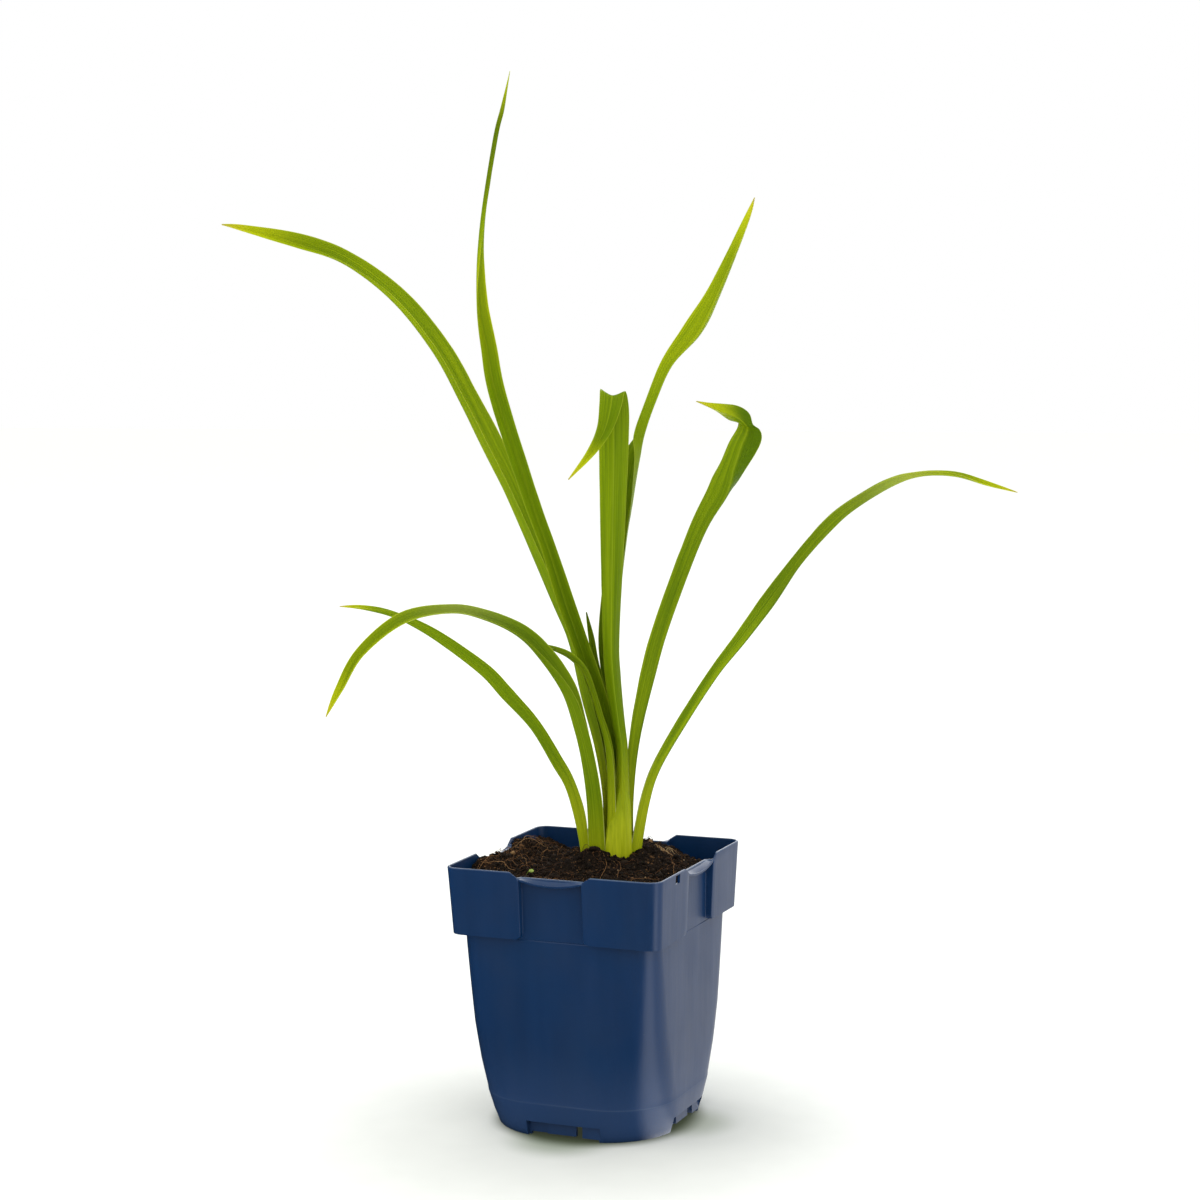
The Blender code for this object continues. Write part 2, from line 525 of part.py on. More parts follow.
def leaf_sections(rows):
    """Closed V sections of a leaf: margin, blade, keel, blade, margin, then back inside."""
    fine = 4
    samples = smooth_rows(rows, SECTIONS_PER_SPAN * fine)
    points = [fan_point(*sample[:3]) for sample in samples]
    frames = carried_frames(points)
    sections = []
    for index in range(0, len(samples), fine):
        half_blade, fold, turn = samples[index][3:]
        half_blade = max(half_blade, TIP_BLADE)
        tangent, front = frames[index]
        along = tangent.cross(front)
        fold = math.radians(fold)
        turn = math.radians(turn)
        channel = math.cos(turn) * front + math.sin(turn) * along
        across = channel.cross(tangent)
        wide = half_blade * math.sin(fold)
        deep = half_blade * math.cos(fold) / 2
        thick = min(LEAF_THICKNESS, 0.5 * half_blade) / 2
        side = Vector((math.cos(fold), -math.sin(fold))) * thick
        bulge = LEAF_BULGE * half_blade
        outline = []
        keel = thick * 1.5
        middle = Vector((wide / 2 + bulge * math.cos(fold), keel / 2 - bulge * math.sin(fold)))
        for sign in (-1, 1):
            outer = middle + side
            inner = middle - side
            outline.append(((sign * outer.x, outer.y), (sign * inner.x, inner.y)))
        ring = [(-wide, deep), outline[0][0], (0.0, -deep), outline[1][0], (wide, deep),
                outline[1][1], (0.0, 2 * keel - deep), outline[0][1]]
        sections.append([points[index] + across * a + channel * c for a, c in ring])
    return sections


def make_leaf(name, rows, group, material):
    return add_loft(name, leaf_sections(rows), group, material, smooth_angle=60.0, fan_caps=False)


def make_seedling(group, material):
    """A weed seedling near the front of the peat: a thin stalk and one round seed leaf."""
    foot = Vector((SEEDLING_AT[0], SEEDLING_AT[1], 0.0))
    foot.z = soil_height(foot.x, foot.y) + CLEARANCE
    rings = []
    for index, (side, rise, half_width, half_thickness) in enumerate(SEEDLING):
        before = SEEDLING[max(index - 1, 0)]
        after = SEEDLING[min(index + 1, len(SEEDLING) - 1)]
        slope = math.atan2(after[1] - before[1], after[0] - before[0]) if index else math.pi / 2
        ring = []
        for step in range(8):
            angle = step * math.pi / 4
            lift = half_thickness * math.sin(angle)
            ring.append(foot + Vector((side - lift * math.sin(slope), half_width * math.cos(angle),
                                       rise + lift * math.cos(slope))))
        rings.append(ring)
    return add_loft("seedling", rings, group, material)


def main():
    clear_scene()
    plant = make_collection("potted_daylily")
    cutters = make_collection("cutters")
    make_pot(plant, cutters, make_material("pot_plastic", *POT_BLUE))
    make_soil(plant, make_material("peat", *PEAT_BROWN))
    make_crown(plant, make_material("crown", *CROWN_PALE))
    leaf_material = make_material("leaf", *LEAF_GREEN)
    for name, rows in LEAVES.items():
        make_leaf(name, rows, plant, leaf_material)
    make_seedling(plant, make_material("seedling", *SEEDLING_GREEN))


main()
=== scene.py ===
"""Looks of the potted daylily: fine leaves, moulded pot, peat with crumbs and fibres, studio.

Lengths are in millimetres in the tables below and become metres where meshes are made.
"""

import random
from math import copysign, cos, exp, hypot, pi, radians, sin, sqrt, tau

import bmesh
import bpy
from mathutils import Matrix, Vector, noise


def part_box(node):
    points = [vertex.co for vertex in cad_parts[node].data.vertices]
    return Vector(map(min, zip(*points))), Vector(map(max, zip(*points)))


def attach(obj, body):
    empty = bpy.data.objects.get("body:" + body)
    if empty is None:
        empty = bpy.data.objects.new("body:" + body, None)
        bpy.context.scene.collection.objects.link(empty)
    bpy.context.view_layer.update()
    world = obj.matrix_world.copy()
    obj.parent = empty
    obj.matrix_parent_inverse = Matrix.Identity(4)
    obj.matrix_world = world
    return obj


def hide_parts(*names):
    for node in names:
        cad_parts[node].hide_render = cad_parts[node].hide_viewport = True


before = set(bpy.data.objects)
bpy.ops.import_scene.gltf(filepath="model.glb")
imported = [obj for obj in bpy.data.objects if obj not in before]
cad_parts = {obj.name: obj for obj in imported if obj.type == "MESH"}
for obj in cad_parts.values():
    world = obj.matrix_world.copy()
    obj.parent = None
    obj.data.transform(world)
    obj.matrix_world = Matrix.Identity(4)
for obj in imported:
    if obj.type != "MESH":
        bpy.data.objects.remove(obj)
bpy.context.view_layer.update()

MM = 0.001
random.seed(7)

# ---- Camera ----
CAMERA_AZIMUTH = radians(23.33)
CAMERA_ELEVATION = radians(6.11)
CAMERA_ROLL = radians(-0.77)
CAMERA_DISTANCE = 1019.0
CAMERA_TARGET = (3.04, 206.03)  # to the right of the pot's axis, and up
CAMERA_LENS = 78.075

# ---- Studio ----
AMBIENT = 1.09
BACKDROP_AXIS = (0.75, 0.66, 0.0)  # the side that is bright in reflections
BACKDROP = (0.25, 0.50, 0.02, 0.98)  # where it starts and is full, and the strengths there
STRIP = (0.05, 0.30, 0.0, 2.3)  # the brighter strip light in its near half
STRIP_END = (0.48, 0.80, 1.0, 0.0)
OVERHEAD = (0.30, 0.90, 0.0, 1.0)  # how high the bright ceiling starts and is full
KEY_SIZE = 2.4
KEY_POWER = 20.0
KEY_PLACE = (-0.70, 0.05, 2.25)
KEY_TARGET = Vector((0.0, 0.0, 0.15))
FLOOR_TINT = ((0.887, 0.900, 0.872), (0.907, 0.920, 0.892))
# Painted light: a faint glow of the floor that lifts its shade.
FLOOR_GLOW = (0.030, 0.035, 0.022)
# Painted shade on the floor round the pot: the middle, where the shade is full and where it ends, and its
# tint.
SHADES = (((0.001, -0.003, 0.0), 0.034, 0.045, (0.135, 0.16, 0.105)),
          ((0.000, -0.038, 0.0), 0.006, 0.026, (0.52, 0.57, 0.49)),
          ((0.038, 0.000, 0.0), 0.006, 0.024, (0.68, 0.71, 0.65)),
          ((-0.005, -0.035, 0.0), 0.045, 0.15, (0.84, 0.84, 0.83)))
FLOOR_REFLECTED = 0.85  # how bright the floor's painted reflection is against what is above it

# ---- Pot ----
POT_HEIGHT = 105.5
POT_WALL = 1.0
RIM_HALF = 45.0
COLLAR_FOOT = 79.0
COLLAR_FOOT_HALF = 43.6
COLLAR_CORNER = 5.2
BODY_TOP_HALF = 41.0
RECESS_HALF_WIDTH = 13.1
RECESS_TOP_HALF = 41.6
RECESS_RIM = 103.1
# Height over the recess's foot and how much wider it is there.
RECESS_CORNERS = ((0.0, 2.3), (0.3, 1.2), (0.7, 0.6), (1.3, 0.2), (2.3, 0.0))
SHOULDER = 16.4
LIP_HEIGHT = 101.2  # in the middle of its sag
LIP_STEPS = 24
LIP_THICKNESS = 0.9
# Height, half width and corner radius of the body.
BODY_PROFILE = ((0.0, 37.0, 28.5), (5.6, 38.0, 27.2), (14.0, 39.3, 25.2), (27.0, 40.1, 20.6),
                (42.0, 40.45, 15.6), (60.0, 40.75, 12.3), (COLLAR_FOOT - 0.1, BODY_TOP_HALF, 9.4))
# The foot band with the chamfer along its top: heights, and how proud of the body it is.
FOOT_BAND = ((2.5, 0.10), (5.6, 0.20), (8.5, 0.22), (11.5, 0.22), (13.3, 0.22), (13.7, 0.17), (14.1, 0.09),
             (14.6, 0.0))
# Inward and down from the rim's outer edge, over its top to the inside.
RIM_ROUND = ((0.0, 0.55), (0.04, 0.33), (0.15, 0.15), (0.32, 0.04), (0.5, 0.0), (0.74, 0.0), (0.88, 0.05),
             (0.97, 0.18), (1.0, 0.4))
EDGE = 0.35  # radius of moulded edges
FLOOR_TOP = 6.6
ARCH_HEIGHT = 6.3
UNDERSIDE = 5.6
RIB_JOINT = -6.5  # the rib stands back on the left of this
RIB_STEP = 0.9
UNDERSIDE_CORNER = 27.0
ARCH_START = -14.5
ARCH_END = 16.4
RIB_FRONT = 35.6
RIB_BACK = 34.0
RIB_GAP = (5.6, 8.6)
STEP_FRONT = 36.4
RIB_LIFT = 1.2
LABEL_SLIT = (4.4, 3.4)
LABEL_SLIT_AT = (-25.2, 103.2)
LABEL_SLIT_DEPTH = (42.0, 47.0)
CORNER_STEPS = 14
BODY_HEIGHTS = (17, 20, 23.5, 27, 31, 36, 42, 48, 54, 60, 66, 72, 77, 78.3)
GROOVE = 0.16  # depth of the fine groove under the collar
COLLAR_HEIGHTS = (84.0, 88.0, 93.0, 98.0, RECESS_RIM - 1.5)
OUTSIDE = 44.0  # a place outside the body's walls, for the arches
DRAIN_AT = (-9.0, 9.0)  # middles of the two slots along a side, half a slot and where it lies
DRAIN_HALF = 4.5
DRAIN_DEPTH = (24.3, 27.7)
EDGE_HIGHLIGHT_BLUE = (0.052, 0.088, 0.165)  # painted highlight: paler blue along the top edges of the rims and of the foot band

# ---- Plant ----
FAN_TURN = radians(23.3)
LEAF_FOOT = 105.8
LEAF_ROOT = 97.0  # the visible leaves go on down into the peat


def fan_point(along, front, up):
    """A point of the fan: along its plane to the right, toward its front, and up."""
    x = along * cos(FAN_TURN) + front * sin(FAN_TURN)
    y = along * sin(FAN_TURN) - front * cos(FAN_TURN)
    return Vector((x, y, up))


# Each row is a station along a leaf from its foot to its tip: how far it is along the fan,
# toward the front and up, then the half blade from keel to margin, the angle of each half
# blade to the leaf's middle plane, and how far the channel is turned from facing the front.
LEAVES = {
    "leaf_left_high": (
        (4.4, -0.4, LEAF_FOOT, 3.6, 22, 90), (4.5, -1.6, 127, 3.3, 25, 87), (2.0, -4.2, 147, 4.4, 30, 82),
        (-2.6, -7.4, 167, 6.0, 35, 76), (-7.1, -12, 189, 7.8, 42, 72), (-13.8, -15, 205.7, 8.4, 45, 70),
        (-30.4, -22, 245.4, 9.3, 50, 66), (-39.9, -25.6, 265, 9.6, 50, 65),
        (-49.5, -29, 284.3, 8.7, 50, 64), (-60.2, -32.5, 304, 8.1, 50, 62),
        (-76.2, -36, 324.3, 7.3, 50, 60), (-95.8, -39, 339.4, 5.6, 50, 48), (-114.8, -41, 347, 4.9, 52, 28),
        (-138.2, -43, 353.4, 1.9, 52, 15), (-147, -43, 355.2, 0.35, 52, 15)),
    "leaf_tallest": (
        (7.3, -0.5, LEAF_FOOT, 3.5, 22, 88), (7.3, -0.8, 127, 3.7, 25, 76), (6.4, -0.1, 147, 4.4, 29, 42),
        (1.8, -0.4, 167, 5.2, 38, 20), (-5.4, -1.2, 190, 4.7, 43, 10), (-10.7, -1, 206, 4.8, 45, 8),
        (-16.7, 0, 226, 4.2, 45, 8), (-23.5, 1, 246, 4.3, 46, 8), (-35.4, 3, 285, 4.6, 48, 15),
        (-38.9, 4, 304, 4.5, 48, 22), (-41.7, 4, 324, 4, 50, 50), (-40.5, 4.5, 350, 2.9, 52, 88),
        (-34.9, 6, 383, 2.3, 42, 95), (-31.6, 7, 396, 1.9, 40, 95), (-28.5, 8, 409.6, 0.35, 60, 95)),
    "leaf_right_high": (
        (11.3, -4.1, LEAF_FOOT, 3.6, 22, -90), (10.6, -7, 138, 4.5, 27, -80),
        (8.4, -10.5, 166, 5.6, 32, -58), (7.2, -12, 189, 7.1, 38, -45), (11.2, -14, 225, 6.9, 42, -40),
        (14.4, -15, 244, 7.1, 42, -45), (17.4, -16, 261, 6.8, 42, -62), (19.7, -17, 270, 5.2, 42, -98),
        (24.6, -18, 283, 4.7, 42, -105), (31.4, -20, 297.5, 5.1, 45, -115),
        (42.4, -22, 310.3, 6.8, 50, -135), (50.9, -24, 325.8, 4.4, 50, -145),
        (62.9, -27, 352.6, 2.2, 45, -150), (66.4, -28, 362.4, 0.35, 45, -150)),
    "leaf_folded": (
        (10.2, 4.0, LEAF_FOOT, 6.6, 44, 180), (10.8, 4.3, 128, 5.0, 34, 180),
        (10.9, 4.2, 147, 4.8, 29, 180), (9.6, 4.2, 158, 5, 31, 180), (7.8, 4.2, 175, 5.4, 35, 180),
        (7.2, 4, 192, 5.6, 36, 180), (8.3, 3, 234, 6.2, 51, 180), (9.2, 1.2, 266, 6.5, 62, 180),
        (9.3, 0.8, 280, 6.4, 68, 172), (9.0, 3.8, 286.8, 5.6, 62, 164), (8.1, 7.2, 281.5, 4.8, 64, 164),
        (5.7, 9.4, 273, 3.5, 60, 164), (0.6, 13, 264.5, 2.2, 56, 164), (-8.4, 18, 254.4, 0.35, 50, 164)),
    "leaf_hooked": (
        (13.4, -0.4, LEAF_FOOT, 3.4, 22, -92), (13.8, -0.6, 128, 3.4, 22, -96),
        (16.2, -0.6, 151, 4.5, 26, -105), (22.1, -0.5, 177, 6.2, 30, -110), (28.4, -1, 198, 6.5, 32, -110),
        (41.9, -4, 231.5, 6.8, 38, -118), (51.4, -6, 247, 8, 48, -135), (55.9, -6.9, 256.8, 6.2, 56, -170),
        (59.4, -7.4, 264.8, 6.7, 60, -195), (61.7, -7.2, 269.6, 6.4, 64, -206),
        (61.9, -5.2, 272.6, 4.8, 72, -200), (60.9, -1.2, 273.7, 2.9, 76, -185),
        (58.6, 1.6, 276.3, 4.2, 70, -165), (55.2, 4.0, 278.3, 4.1, 60, -150),
        (50.7, 6.8, 280.1, 3.0, 54, -156), (45.6, 9, 281.8, 1.5, 50, -160),
        (41.0, 11, 283.4, 0.35, 45, -160)),
    "leaf_right_arch": (
        (15.9, 0.2, LEAF_FOOT, 4.8, 24, -90), (19.8, -0.8, 126, 4.3, 25, -90),
        (24.7, -1, 140, 4.2, 26, -92), (35.9, -1.8, 159, 4.7, 28, -95), (48, -2.6, 177, 5.0, 32, -98),
        (58.4, -3.4, 190, 6.0, 34, -100), (69.7, -4.2, 205, 7.0, 34, -100), (80.7, -5, 220, 5.6, 36, -98),
        (92.7, -5.7, 233.5, 6.2, 36, -95), (102.5, -6.2, 241.5, 5.4, 38, -92),
        (117.5, -7, 250, 4.8, 42, -90), (129.5, -7.6, 253.2, 3.1, 48, -88), (143, -8, 252.8, 2.6, 48, -75),
        (156, -8.5, 248.7, 1.9, 50, -50), (167.7, -8.5, 245.4, 0.35, 50, -50)),
    "leaf_left_arch": (
        (0.1, 2.8, LEAF_FOOT, 6.7, 26, 110), (-0.6, 3.8, 127, 6.4, 29, 105), (-2.8, 5.5, 145, 6.1, 31, 98),
        (-5.8, 7.5, 159, 6.4, 34, 90), (-10, 9.5, 172, 6.8, 38, 80), (-18.5, 12, 185.2, 6.3, 42, 70),
        (-27.8, 15, 195, 5.2, 44, 64), (-40.4, 18.5, 201.7, 4, 44, 65), (-54, 22.5, 205.1, 3.4, 45, 68),
        (-71.8, 28, 202.4, 4.1, 48, 70), (-87.5, 33, 190.6, 3.4, 48, 72), (-95.6, 36, 177.2, 2.9, 45, 75),
        (-101.2, 38.5, 167, 0.35, 45, 75)),
    "leaf_left_low": (
        (-4.4, 0.0, LEAF_FOOT, 3.4, 22, 105), (-6.2, -0.7, 120, 4.9, 25, 100),
        (-10, -1.8, 132.5, 4.7, 28, 110), (-15.1, -3, 141.4, 5.0, 32, 116),
        (-23.7, -4, 155.8, 4.7, 36, 120), (-34.9, -5, 168.4, 5.5, 40, 122),
        (-43.6, -6, 177.9, 5.2, 41, 120), (-60, -8, 190.3, 4.6, 42, 112), (-72.3, -10, 197.5, 3.9, 44, 100),
        (-80.5, -11, 200.7, 3.3, 46, 84), (-91, -12, 202.8, 2.1, 48, 65),
        (-100.3, -13, 203.4, 0.35, 48, 55)),
    "leaf_young_front": (
        (5.6, 3.9, LEAF_FOOT, 3.3, 30, 90), (6.6, 4.3, 127, 3.9, 28, 86), (5.8, 5.3, 147, 3.2, 30, 80),
        (2.0, 5.5, 162, 2.6, 32, 75), (-2.8, 5.3, 177.5, 2.4, 35, 72), (-8.4, 5.2, 184, 2.7, 38, 70),
        (-14, 4.8, 187, 2.2, 42, 70), (-22.5, 4, 190, 0.35, 45, 70)),
    "leaf_young_back": (
        (8.2, -4.0, LEAF_FOOT, 1.8, 30, 0), (7.3, -6.6, 140, 2.0, 34, 0), (4.5, -7.4, 166, 2.1, 38, 0),
        (1.1, -7.4, 180, 2.0, 40, 0), (-0.6, -7.4, 190.5, 1.7, 45, 0), (-2.4, -7.4, 200.5, 0.35, 48, 0)),
}
# For each leaf: how light it is at shares of its length, partly its own colour and partly painted light and
# shade, how high its pale foot reaches, how much painted shade darkens its right half, and where it has a
# painted grey sheen (how far along the fan, and reach).
LEAF_LOOKS = {
    "leaf_left_high": (((0, 0.66), (0.3, 1.12), (0.55, 1.46), (0.85, 1.46), (0.95, 1.75)), 160, 0.0, None),
    "leaf_tallest": (((0, 0.54), (0.3, 0.92), (0.6, 1.33), (0.75, 1.75), (0.86, 0.95), (1, 0.9)),
                     132, 0.0, None),
    "leaf_right_high": (((0, 0.82), (0.6, 1.05), (0.75, 1.58), (1, 1.60)), 130, 0.0, None),
    "leaf_folded": (((0, 1.05), (1, 1.16)), 158, 0.1, None),
    "leaf_hooked": (((0, 0.92), (1, 1.10)), 150, 0.9, None),
    "leaf_right_arch": (((0, 1.08), (0.42, 1.22), (0.52, 1.0), (0.66, 0.98), (0.74, 1.0), (0.82, 1.5),
                         (1, 1.7)), 152, 0.0, (119, 14)),
    "leaf_left_arch": (((0, 1.10), (0.3, 1.14), (0.46, 1.04), (0.6, 1.2), (0.73, 1.46), (0.9, 1.75)),
                       134, 0.0, (-50, 14)),
    "leaf_left_low": (((0, 1.15), (1, 1.40)), 150, 0.0, None),
    "leaf_young_front": (((0, 1.10), (1, 0.95)), 155, 0.0, None),
    "leaf_young_back": (((0, 1.0), (1, 1.0)), 120, 0.0, None),
}
# Leaves that are less yellow at the tip.
RIPENESS = {"leaf_tallest": 0.97, "leaf_young_front": 0.88, "leaf_young_back": 0.88}
# What a leaf's points carry for its material.
LEAF_LAYERS = ("across", "reach", "length", "inner", "pale", "painted_sheen", "shade", "seed", "tone")
PALE_FADE = 40.0  # height over which the pale foot turns green
SHADE_EDGE = 6.0  # how sharply the painted shade on one half starts at the keel
BLADE_THICKNESS = 0.55
MARGIN_THINNER = 0.62  # share of the thickness that is lost toward the margin
KEEL_ROUND = 0.12
TIP_BLADE = 0.3
STEPS_ACROSS = 9  # from keel to margin
SAMPLES_PER_SPAN = 8


# ---- Number helpers ----
def clamped(value, low=0.0, high=1.0):
    return min(max(value, low), high)


def curve_value(p0, p1, p2, p3, t):
    """A smooth curve from p1 to p2 that heads for the points on either side."""
    return 0.5 * (2 * p1 + (p2 - p0) * t + (2 * p0 - 5 * p1 + 4 * p2 - p3) * t * t
                  + (3 * p1 - p0 - 3 * p2 + p3) * t ** 3)


def smooth_rows(rows, per_span):
    """Rows of a table with smoothly placed rows added between them."""
    samples = []
    last = len(rows) - 1
    for i in range(last):
        around_span = (rows[max(i - 1, 0)], rows[i], rows[i + 1], rows[min(i + 2, last)])
        for step in range(per_span):
            samples.append([curve_value(*column, step / per_span) for column in zip(*around_span)])
    samples.append(list(rows[-1]))
    return samples


def blend(rows, height, column):
    """A smooth value between the rows of a table of heights."""
    if height <= rows[0][0]:
        return rows[0][column]
    last = len(rows) - 1
    for i, (low, high) in enumerate(zip(rows, rows[1:])):
        if height <= high[0]:
            share = (height - low[0]) / (high[0] - low[0])
            near = [rows[clamped(k, 0, last)][column] for k in (i - 1, i, i + 1, i + 2)]
            straight = low[column] + share * (high[column] - low[column])
            return 0.5 * straight + 0.5 * curve_value(*near, share)
    return rows[-1][column]


def around(count):
    """Cosine and sine of a number of directions round a circle."""
    return [(cos(step * tau / count), sin(step * tau / count)) for step in range(count)]


def tangents(points):
    last = len(points) - 1
    return [(points[min(i + 1, last)] - points[max(i - 1, 0)]).normalized() for i in range(last + 1)]


# ---- Node helpers ----
class Nodes:
    """Short ways to add nodes to a tree; each gives the output that is of use."""

    def __init__(self, tree):
        self.tree = tree

    def feed(self, socket, value):
        """Link an output to a socket, or set it when value is a number or a tuple."""
        if isinstance(value, bpy.types.NodeSocket):
            self.tree.links.new(value, socket)
        else:
            socket.default_value = value

    def add(self, kind, *inputs, output=0, named=(), **settings):
        """Add a node; inputs are fed in order, or by the names or numbers in named."""
        made = self.tree.nodes.new("ShaderNode" + kind)
        for key, value in settings.items():
            setattr(made, key, value)
        for key, value in (*enumerate(inputs), *dict(named).items()):
            self.feed(made.inputs[key], value)
        return made.outputs[output]

    def attribute(self, name):
        return self.add("Attribute", output="Fac", attribute_name=name)

    def position(self):
        return self.add("TexCoord", output="Object")

    def xyz(self, vector):
        return self.add("SeparateXYZ", vector).node.outputs

    def combine(self, x, y, z):
        return self.add("CombineXYZ", x, y, z)

    def math(self, operation, a, b=0.0):
        return self.add("Math", a, b, operation=operation)

    def times(self, a, b):
        return self.math("MULTIPLY", a, b)

    def plus(self, a, b):
        return self.math("ADD", a, b)

    def larger(self, a, b):
        return self.math("MAXIMUM", a, b)

    def vector(self, operation, a, b, output=0):
        return self.add("VectorMath", a, b, output=output, operation=operation)

    def noise(self, place, scale, detail=2.0, roughness=0.5):
        """Noise of one scale, or of three scales along X, Y and Z."""
        if isinstance(scale, tuple):
            place, scale = self.vector("MULTIPLY", place, scale), 1.0
        named = {"Vector": place, "Scale": scale, "Detail": detail, "Roughness": roughness}
        return self.add("TexNoise", output="Fac", named=named)

    def ramp(self, value, stops):
        """stops is a list of (position, colour) with colours of three linear values."""
        made = self.add("ValToRGB", value, output="Color")
        elements = made.node.color_ramp.elements
        while len(elements) < len(stops):
            elements.new(0.5)
        for element, (position, colour) in zip(elements, stops):
            element.position = position
            element.color = (*colour, 1.0)
        return made

    def span(self, value, low, high, to_low=0.0, to_high=1.0):
        """Rise smoothly from to_low at low to to_high at high."""
        named = {"Value": value, "From Min": low, "From Max": high, "To Min": to_low, "To Max": to_high}
        return self.add("MapRange", output="Result", named=named, interpolation_type="SMOOTHSTEP")

    def mix(self, factor, a, b, blend="MIX"):
        a, b = (value if isinstance(value, bpy.types.NodeSocket) else (*value, 1.0) for value in (a, b))
        named = {"Factor": factor, 6: a, 7: b}      # 6 and 7 are the two colours
        return self.add("Mix", output=2, named=named, data_type="RGBA", blend_type=blend)

    def layers(self, colour, *coats):
        """Lay coats of (share, colour) over a colour, one after the other."""
        for share, coat in coats:
            colour = self.mix(share, colour, coat)
        return colour


class Shader(Nodes):
    """A material with a Principled BSDF."""

    def __init__(self, name):
        self.material = bpy.data.materials.new(name)
        self.material.use_nodes = True
        super().__init__(self.material.node_tree)
        self.bsdf = self.tree.nodes["Principled BSDF"]

    def surface(self, colour, roughness, specular, extra=()):
        settings = {"Base Color": colour, "Roughness": roughness, "Specular IOR Level": specular}
        settings.update(extra)
        for name, value in settings.items():
            self.feed(self.bsdf.inputs[name], value)
        return self.material

    def bump(self, height, distance, strength=1.0):
        named = {"Height": height, "Distance": distance, "Strength": strength}
        self.feed(self.bsdf.inputs["Normal"], self.add("Bump", output="Normal", named=named))


# ---- Materials ----
SOFT_INSIDE = {"Subsurface Weight": 0.35, "Subsurface Radius": (0.0015, 0.0015, 0.0003)}
PLAIN_SPECULAR = 0.5


def leaf_material():
    """Strap leaf: fine veins along it, pale foot, yellow tip; painted shade on the channel side and one
    half, painted sheen, painted highlight on the keel.
    """
    s = Shader("leaf")
    across, reach, length, inner, pale_foot, painted_sheen, shade, seed, tone = map(s.attribute, LEAF_LAYERS)

    def streaks(wide, long, layer, detail=2.0, roughness=0.5):
        place = s.combine(s.times(across, wide), s.times(length, long), layer)
        return s.noise(place, 1.0, detail, roughness)

    veins = streaks(10.0, 12.0, seed, 3.0, 0.65)
    broad = streaks(2.2, 22.0, seed)
    patches = streaks(1.2, 9.0, s.plus(seed, 20.0))
    wander = s.math("SUBTRACT", broad, 0.5)
    lines = s.math("SINE", s.times(s.plus(across, s.times(wander, 0.10)), 46.0))
    lines = s.times(s.span(lines, 0.55, 1.0), s.span(broad, 0.3, 0.7, 0.12, 0.42))
    from_keel = s.math("ABSOLUTE", across)
    pale = s.ramp(veins, [(0.3, (0.25, 0.31, 0.003)), (0.7, (0.40, 0.45, 0.010))])
    margin = s.mix(pale_foot, (0.34, 0.40, 0.03), (0.60, 0.60, 0.30))
    green = s.ramp(veins, [(0.30, (0.080, 0.145, 0.0012)), (0.5, (0.155, 0.235, 0.0015)),
                           (0.70, (0.245, 0.330, 0.002))])
    # Painted light among these coats: painted shade on the channel's inner face, a painted grey sheen,
    # painted shade on one half and a painted highlight along the keel.
    green = s.layers(
        green, (s.span(broad, 0.35, 0.7, 0.0, 0.5), (0.205, 0.285, 0.0015)),
        (s.span(patches, 0.62, 0.38, 0.0, 0.55), (0.082, 0.150, 0.0008)), (lines, (0.30, 0.40, 0.010)),
        (s.times(inner, 0.30), (0.085, 0.155, 0.001)), (s.times(painted_sheen, 0.6), (0.26, 0.31, 0.055)),
        (pale_foot, pale), (shade, (0.080, 0.150, 0.0008)),
        (s.span(from_keel, 0.07, 0.015, 0.0, 0.3), (0.33, 0.42, 0.020)),
        (s.times(s.span(from_keel, 0.93, 1.0), 0.6), margin))
    # The tone along each leaf is its own colour with painted light and shade; lighter parts turn warmer.
    warm = s.times(tone, s.span(tone, 1.2, 1.8, 1.0, 1.22))
    green = s.mix(1.0, green, s.combine(warm, tone, tone), "MULTIPLY")
    tip = s.plus(reach, s.times(wander, 0.04))
    green = s.layers(
        green, (s.span(tip, 0.90, 0.97), (0.48, 0.54, 0.006)),
        (s.span(tip, 0.962, 0.985), (0.60, 0.59, 0.020)), (s.span(tip, 0.992, 0.998), (0.62, 0.52, 0.150)))
    s.bump(s.plus(veins, s.times(lines, 0.8)), 0.0003, 0.8)
    return s.surface(green, s.span(veins, 0.3, 0.7, 0.36, 0.46), 0.05, SOFT_INSIDE)


def sheath_material():
    """The bleached leaf bases: yellow-green with fine lines, greener as they rise."""
    s = Shader("leaf_bases")
    place = s.position()
    veins = s.noise(place, (900.0, 900.0, 45.0), 3.0, 0.6)
    pale = s.ramp(veins, [(0.3, (0.33, 0.39, 0.003)), (0.7, (0.51, 0.56, 0.014))])
    green = s.ramp(veins, [(0.3, (0.17, 0.24, 0.002)), (0.7, (0.27, 0.35, 0.004))])
    s.bump(veins, 0.0002, 0.7)
    return s.surface(s.mix(s.span(s.xyz(place)[2], 0.110, 0.137), pale, green), 0.38, 0.10, SOFT_INSIDE)


